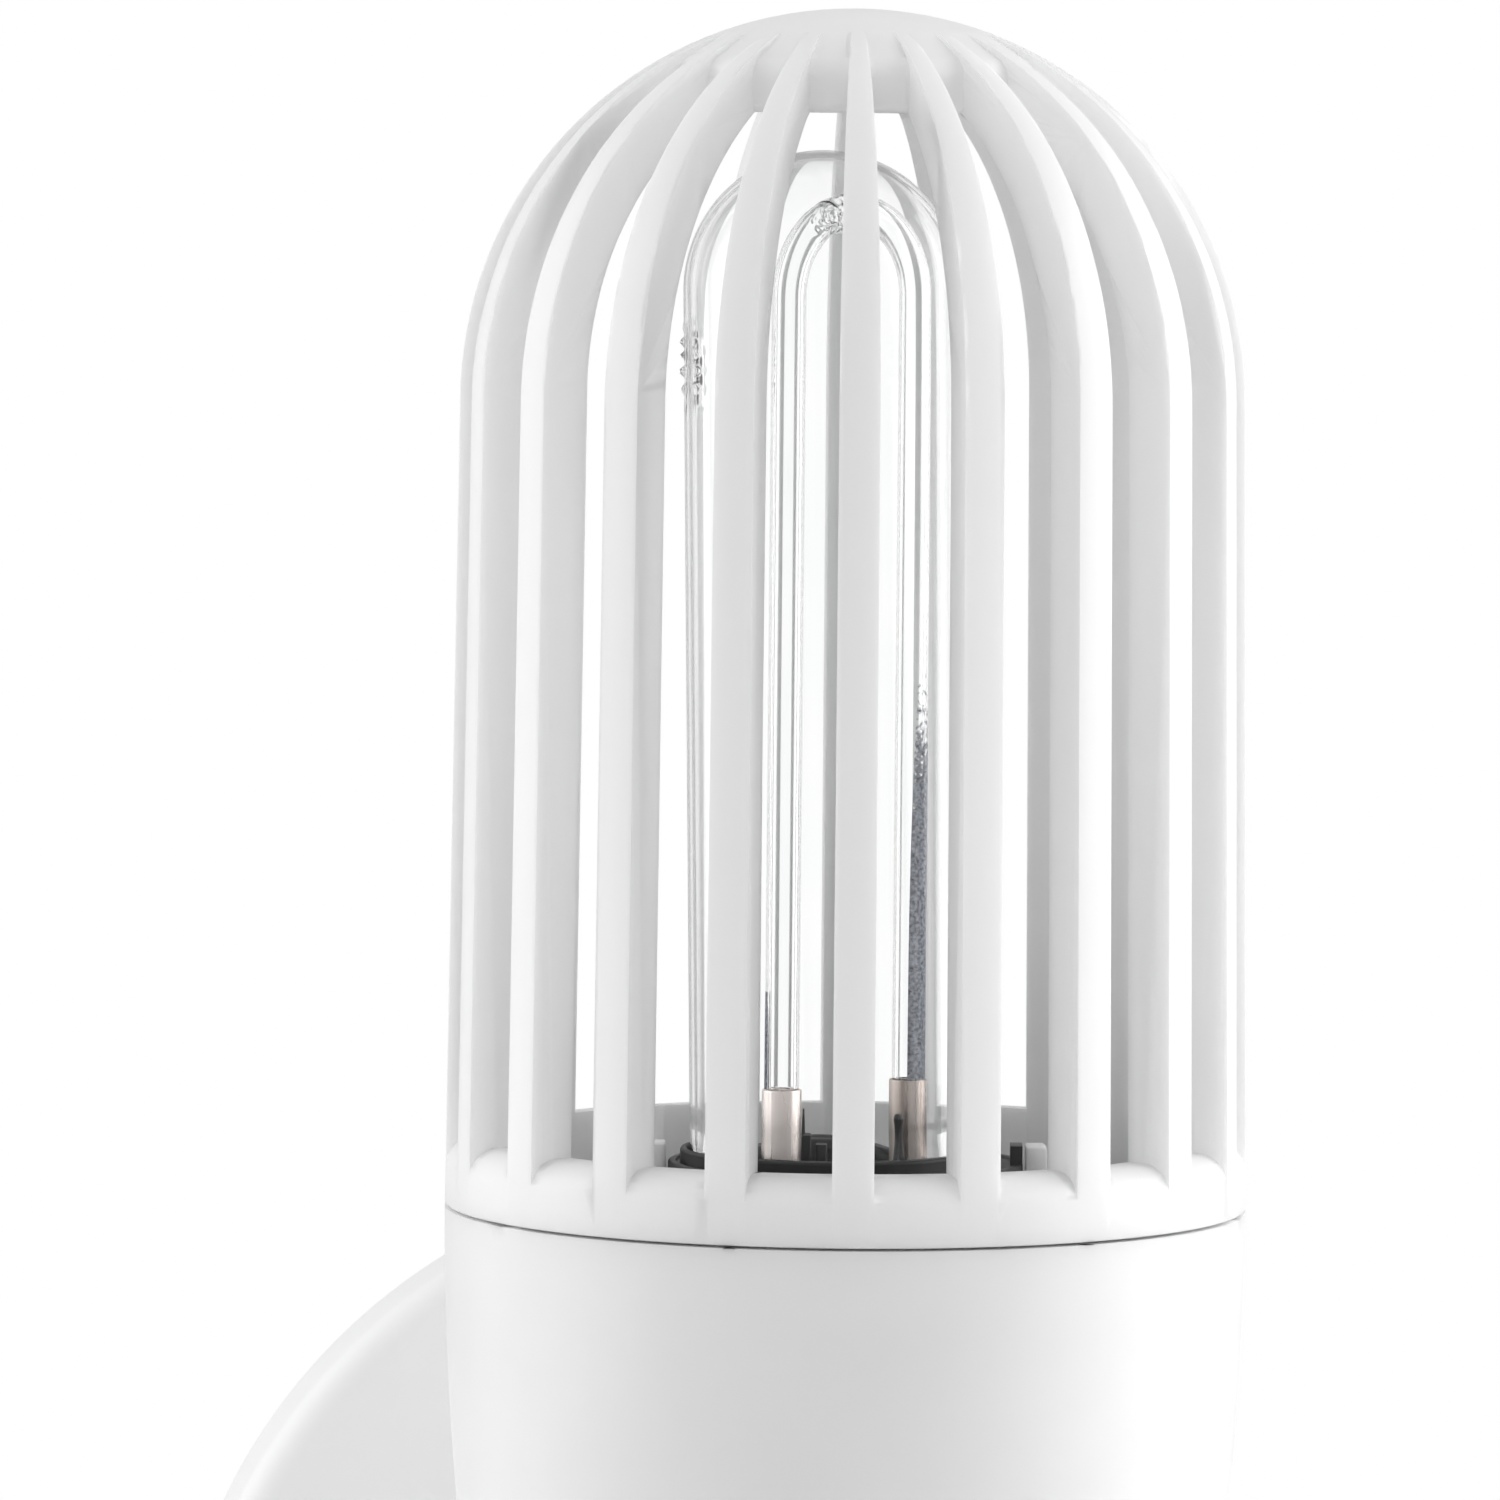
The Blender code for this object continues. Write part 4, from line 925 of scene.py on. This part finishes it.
def make_blade(turn):
    """One blade: rounded sections from hub to tip, flatter towards the tip."""
    shape = bmesh.new()
    rows = []
    inner, outer, steps = HUB_R - BLADE_ROOT, FAN_R, 12
    for k in range(steps + 1):
        r = inner + (outer - inner) * k / steps
        pitch = BLADE_PITCH + BLADE_TWIST * (1 - 2 * k / steps)
        chord = BLADE_CHORD * (0.80 if k == steps else 0.97)
        section = rounded_rectangle(chord, BLADE_T, BLADE_T * 0.45, 3)
        row = []
        for along, up in section:
            y = along * math.cos(pitch) - up * math.sin(pitch)
            z = along * math.sin(pitch) + up * math.cos(pitch)
            row.append(shape.verts.new((r, y, z)))
        rows.append(row)
    for first, second in zip(rows, rows[1:]):
        join(shape, first, second)
    shape.faces.new(rows[0])
    shape.faces.new(rows[-1][::-1])
    bmesh.ops.recalc_face_normals(shape, faces=shape.faces)
    shape.transform(turn @ Matrix.Translation((0, 0, (HUB_TOP + HUB_LOW) / 2)))
    return shape


def make_fan():
    outlines = [circle(FAN_RING_R, steps=160)]
    for angle in THIRDS:
        window = sector(MOTOR_R + 0.002, FAN_RING_R - FAN_RIM, angle + math.pi, FAN_ARM, 3, 36)
        outlines.append(window)
    mesh = carve(plate(outlines, FAN_BRACKET_Z, FAN_BRACKET_T), [], edge=0.00035)
    link("fan_carrier", mesh, WHITE, "housing", ["fan_bracket"])

    top = FAN_BRACKET_Z - GAP
    can = [
        (0, top),
        (MOTOR_R, top, 0.0015),
        (MOTOR_R, MOTOR_LOW + 0.0042, 0.0002),
        (MOTOR_R - 0.0004, MOTOR_LOW + 0.0040, 0.0002),
        (MOTOR_R - 0.0004, MOTOR_LOW + 0.0012, 0.0006),
        (MOTOR_R - 0.0016, MOTOR_LOW + 0.0006, 0.0004),
        (0.0042, MOTOR_LOW + 0.0006, 0.0002),
        (0.0038, MOTOR_LOW, 0.0003),
        (0, MOTOR_LOW),
    ]
    mesh = to_mesh(revolve(rounded(can, 5), 128), "motor_can")
    link("motor_can", mesh, STEEL, "housing", ["fan_motor"])

    hub = [
        (SHAFT_R + GAP, HUB_TOP),
        (HUB_R, HUB_TOP, 0.0012),
        (HUB_R, HUB_LOW, 0.0004),
        (HUB_R - 0.0015, HUB_LOW, 0.0003),
        (HUB_R - 0.0016, HUB_LOW + 0.004, 0.0004),
        (SHAFT_R + 0.0016, HUB_LOW + 0.004, 0.0003),
        (SHAFT_R + 0.0015, HUB_LOW, 0.0002),
        (SHAFT_R + GAP, HUB_LOW),
    ]
    turns = [Matrix.Rotation(2 * math.pi * k / BLADES, 4, "Z") for k in range(BLADES)]
    blades = [(make_blade(turn), "UNION") for turn in turns]
    mesh = carve(revolve(rounded(hub, 4), 96, True), blades, edge=0.0)
    link("impeller", mesh, BLACK, "fan", ["fan_impeller"])


# --- Wall side ----------------------------------------------------------------------------------


def make_neck():
    """The stub between body and canopy, hollowed in front to the body's curve."""
    reach = -AXIS.y + CANOPY_FRONT - GAP
    outline = rounded_rectangle(NECK_WIDTH, NECK_HEIGHT, NECK_CORNER, 14)
    shape = prism(outline, NECK_START, reach, Matrix.Translation((0, 0, NECK_Z)) @ BACKWARD)
    low, high = NECK_Z - NECK_HEIGHT, NECK_Z + NECK_HEIGHT
    around = [(0, high)] + side(low, high, 24, -GAP) + [(0, low)]
    cutters = [(revolve(around, 192), "DIFFERENCE")]
    for _, radius, z in neck_holes():
        behind = Matrix.Translation((0, 0, z)) @ BACKWARD
        cutters.append((rod(radius, NECK_BORES_START, reach + BEYOND, 48, behind), "DIFFERENCE"))
    mesh = carve(shape, cutters, edge=0.0006)
    link("neck", mesh, WHITE, "housing", ["neck_arm"])
    for label, _, z in neck_holes()[1:]:
        seat = body_radius(z) - BODY_WALL - 0.0016
        place = ON_AXIS @ Matrix.Translation((0, seat, z)) @ FORWARD
        screw = (LARGE_HEAD, NECK_SCREW_R, BODY_SCREW_LENGTH)
        make_screw(f"body_{label}_head", *screw, place, f"body_{label}")
        place = Matrix.Translation((0, CANOPY_FRONT + CANOPY_WALL + GAP, z)) @ BACKWARD
        screw = (LARGE_HEAD, NECK_SCREW_R, NECK_SCREW_LENGTH)
        make_screw(f"neck_{label}_head", *screw, place, f"neck_{label}")


def make_canopy():
    """The round cover on the wall: a soft outer edge, an even wall and holes for its screws."""
    front, back = -CANOPY_FRONT, -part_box("wall_canopy")[1].y
    inner, within = CANOPY_R - CANOPY_WALL, front - CANOPY_WALL
    profile = [
        (0, front),
        (CANOPY_R - CANOPY_EDGE_R - 0.001, front),
        (CANOPY_R, front, CANOPY_EDGE_R),
        (CANOPY_R, back, 0.0005),
        (inner, back, 0.0003),
        (inner, within, 0.0030),
        (0, within),
    ]
    cutters = []
    holes = [(radius, 0, z) for _, radius, z in neck_holes()]
    holes += [(SCREW_HOLE_R, sign * CANOPY_SCREW_X, CANOPY_SCREW_Z) for sign in (-1, 1)]
    for radius, x, z in holes:
        at = Matrix.Translation((x, z, 0))
        cutters.append((rod(radius, within - BEYOND / 2, front + BEYOND / 2, 48, at), "DIFFERENCE"))
    mesh = carve(revolve(rounded(profile, 14), 256), cutters, edge=0.00025)
    # The disc takes the lighter white, which is painted light.
    link("wall_disc", mesh, LIT_DISC_WHITE, "housing", ["wall_canopy"], place=FORWARD)
    screw = (LARGE_HEAD, CANOPY_SCREW_R, CANOPY_SCREW_LENGTH)
    for name, sign in (("left", -1), ("right", 1)):
        seat = (sign * CANOPY_SCREW_X, CANOPY_FRONT - GAP, CANOPY_SCREW_Z)
        place = Matrix.Translation(seat) @ FORWARD
        make_screw(f"disc_screw_{name}", *screw, place, f"canopy_screw_{name}")


def make_bracket():
    """The steel plate on the wall, pressed from sheet, with keyed slots and two posts."""
    outlines = [circle(BRACKET_R, steps=192), circle(ENTRY_R, (0, ENTRY_Z), 64)]
    for sign in (-1, 1):
        slot = rounded_rectangle(*WALL_SLOT, 8)
        outlines.append([(x + sign * WALL_SLOT_ACROSS, y) for x, y in slot])
        outlines.append([(y, x + sign * WALL_SLOT_UP) for x, y in slot][::-1])
    top = -CANOPY_FRONT - CANOPY_WALL - GAP
    cutters = []
    for sign in (-1, 1):
        at = Matrix.Translation((sign * CANOPY_SCREW_X, CANOPY_SCREW_Z, 0))
        cutters.append((rod(CANOPY_POST_R, BRACKET_T / 2, top, 48, at), "UNION"))
        cutters.append((rod(CANOPY_PILOT_R, BRACKET_T + 0.001, top + BEYOND, 32, at), "DIFFERENCE"))
    mesh = carve(plate(outlines, 0, BRACKET_T), cutters, edge=0.0003, segments=2)
    link("wall_plate", mesh, STEEL, "housing", ["wall_bracket"], place=FORWARD)

    bore = 0.0040
    lip, lip_low, lip_top = ENTRY_R + 0.0018, BRACKET_T + GAP, BRACKET_T + 0.0024
    ring = [
        (bore, lip_top, 0.0008),
        (lip, lip_top, 0.0008),
        (lip, lip_low, 0.0003),
        (ENTRY_R - GAP, lip_low, 0.0003),
        (ENTRY_R - GAP, GAP, 0.0004),
        (bore, GAP, 0.0004),
    ]
    corners = rounded([ring[-1], *ring, ring[0]], 5)[1:-1]
    mesh = to_mesh(revolve(corners, 96, True), "entry_grommet")
    place = FORWARD @ Matrix.Translation((0, ENTRY_Z, 0))
    link("entry_grommet", mesh, RUBBER, "housing", ["cable_grommet"], place=place)


def finish_kept_nodes():
    """The CAD's own pieces that stay as they are take this script's materials."""
    for finish, names in (
        (BLACK, ("switch_body", "hv_transformer")),
        (CERAMIC, ("lamp_socket", "hv_capacitor_1", "hv_capacitor_2", "terminal_block")),
        (STEEL, ("lamp_ballast", "fan_shaft")),
        (BOARD, ("circuit_board",)),
        (RUBBER, ("lead_harness",)),
    ):
        for name in names:
            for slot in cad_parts[name].material_slots:
                slot.material = finish


make_cage()
make_body()
make_tray()
make_button()
make_base()
make_clips()
make_jacket()
make_tube()
for film in FILMS:
    make_film(*film)
make_caps()
make_contacts()
make_deck()
make_grids()
make_fan()
make_neck()
make_canopy()
make_bracket()
finish_kept_nodes()


# --- Camera, light and floor --------------------------------------------------------------------

CAMERA_DISTANCE = 1.300
EYE_Z = 0.2285
AIM_Z = 0.1454
AIM_LEFT = 0.0131
ROLL = math.radians(0.5)
LENS, SENSOR = 236.7, 36

SURROUND = (  # direction as right, away and up of the camera, and the light from there
    ((-1, 0, 0), 0.23),
    ((0, 1, 0), 0.59),
    ((0, -1, 0), 0.64),
    ((0, 0, 1), 0.79),
)
FLOOR_R, FLOOR_Z = 1.9, -0.25
LIGHT_AIM_Z, LIGHT_RISE, LIGHT_SIZE = 0.12, 0.15, (0.7, 1.4)
LIGHTS = (  # name, azimuth from the camera, power; each stands a metre from the appliance
    ("right_box", 80, 6.9),
    ("right_back_box", 110, 4.8),
    ("left_box", -80, 3.7),
    ("left_back_box", -110, 3.2),
    ("left_front_box", -55, 0.35),
)


def make_camera():
    data = bpy.data.cameras.new("camera")
    data.lens = LENS
    data.sensor_width = SENSOR
    data.clip_end = 20
    camera = new_object("camera", data)
    out = Vector((math.sin(VIEW_AZIMUTH), -math.cos(VIEW_AZIMUTH), 0))
    right = Vector((math.cos(VIEW_AZIMUTH), math.sin(VIEW_AZIMUTH), 0))
    eye = AXIS + out * CAMERA_DISTANCE + Vector((0, 0, EYE_Z))
    aim = AXIS - right * AIM_LEFT + Vector((0, 0, AIM_Z))
    turn = (aim - eye).to_track_quat("-Z", "Y").to_matrix().to_4x4()
    camera.matrix_world = Matrix.Translation(eye) @ turn @ Matrix.Rotation(ROLL, 4, "Z")
    bpy.context.scene.camera = camera


def area_light(name, place, aim, power):
    data = bpy.data.lights.new(name, "AREA")
    data.shape = "RECTANGLE"
    data.size, data.size_y = LIGHT_SIZE
    data.energy = power
    lamp = new_object(name, data)
    lamp.location = place
    lamp.rotation_euler = (aim - place).to_track_quat("-Z", "Y").to_euler()


def make_world():
    """A white backdrop in view; the piece is lit softly from all round."""
    world = bpy.data.worlds.new("studio")
    world.use_nodes = True
    nodes, links = world.node_tree.nodes, world.node_tree.links
    ray = nodes.new("ShaderNodeTexCoord").outputs["Generated"]
    turn = Matrix.Rotation(VIEW_AZIMUTH, 3, "Z")
    total = None
    for direction, strength in SURROUND:
        facing = nodes.new("ShaderNodeVectorMath")
        facing.operation = "DOT_PRODUCT"
        facing.inputs[1].default_value = turn @ Vector(direction)
        links.new(ray, facing.inputs[0])
        lobe = math_node(nodes, links, "MAXIMUM", facing.outputs["Value"], 0.0)
        lobe = math_node(nodes, links, "POWER", lobe, 2.0)
        lobe = math_node(nodes, links, "MULTIPLY", lobe, strength)
        total = math_node(nodes, links, "ADD", total, lobe) if total else lobe
    path = nodes.new("ShaderNodeLightPath")
    seen = math_node(
        nodes, links, "MAXIMUM", path.outputs["Is Camera Ray"], path.outputs["Is Transmission Ray"]
    )
    level = nodes.new("ShaderNodeMix")
    links.new(seen, level.inputs["Factor"])
    links.new(total, level.inputs["A"])
    level.inputs["B"].default_value = 1.0
    links.new(level.outputs["Result"], nodes["Background"].inputs["Strength"])
    nodes["Background"].inputs["Color"].default_value = (1, 1, 1, 1)
    bpy.context.scene.world = world


def make_floor():
    """A plain pale floor well under the appliance, which hangs on a wall."""
    shape = bmesh.new()
    bmesh.ops.create_circle(shape, cap_ends=True, radius=FLOOR_R, segments=128)
    mesh = to_mesh(shape, "floor")
    pale = moulded("pale_floor", (0.80, 0.80, 0.80, 1), (0.84, 0.84, 0.84, 1), 0.7, 0.8, 300)
    mesh.materials.append(pale)
    floor = new_object("floor", mesh)
    floor.location = AXIS + Vector((0, 0, FLOOR_Z))


def make_studio():
    make_world()
    make_floor()
    bpy.context.scene.view_settings.view_transform = "Standard"
    aim = AXIS + Vector((0, 0, LIGHT_AIM_Z))
    for name, azimuth, power in LIGHTS:
        turn = VIEW_AZIMUTH + math.radians(azimuth)
        place = aim + Vector((math.sin(turn), -math.cos(turn), LIGHT_RISE))
        area_light(name, place, aim, power)


make_camera()
make_studio()
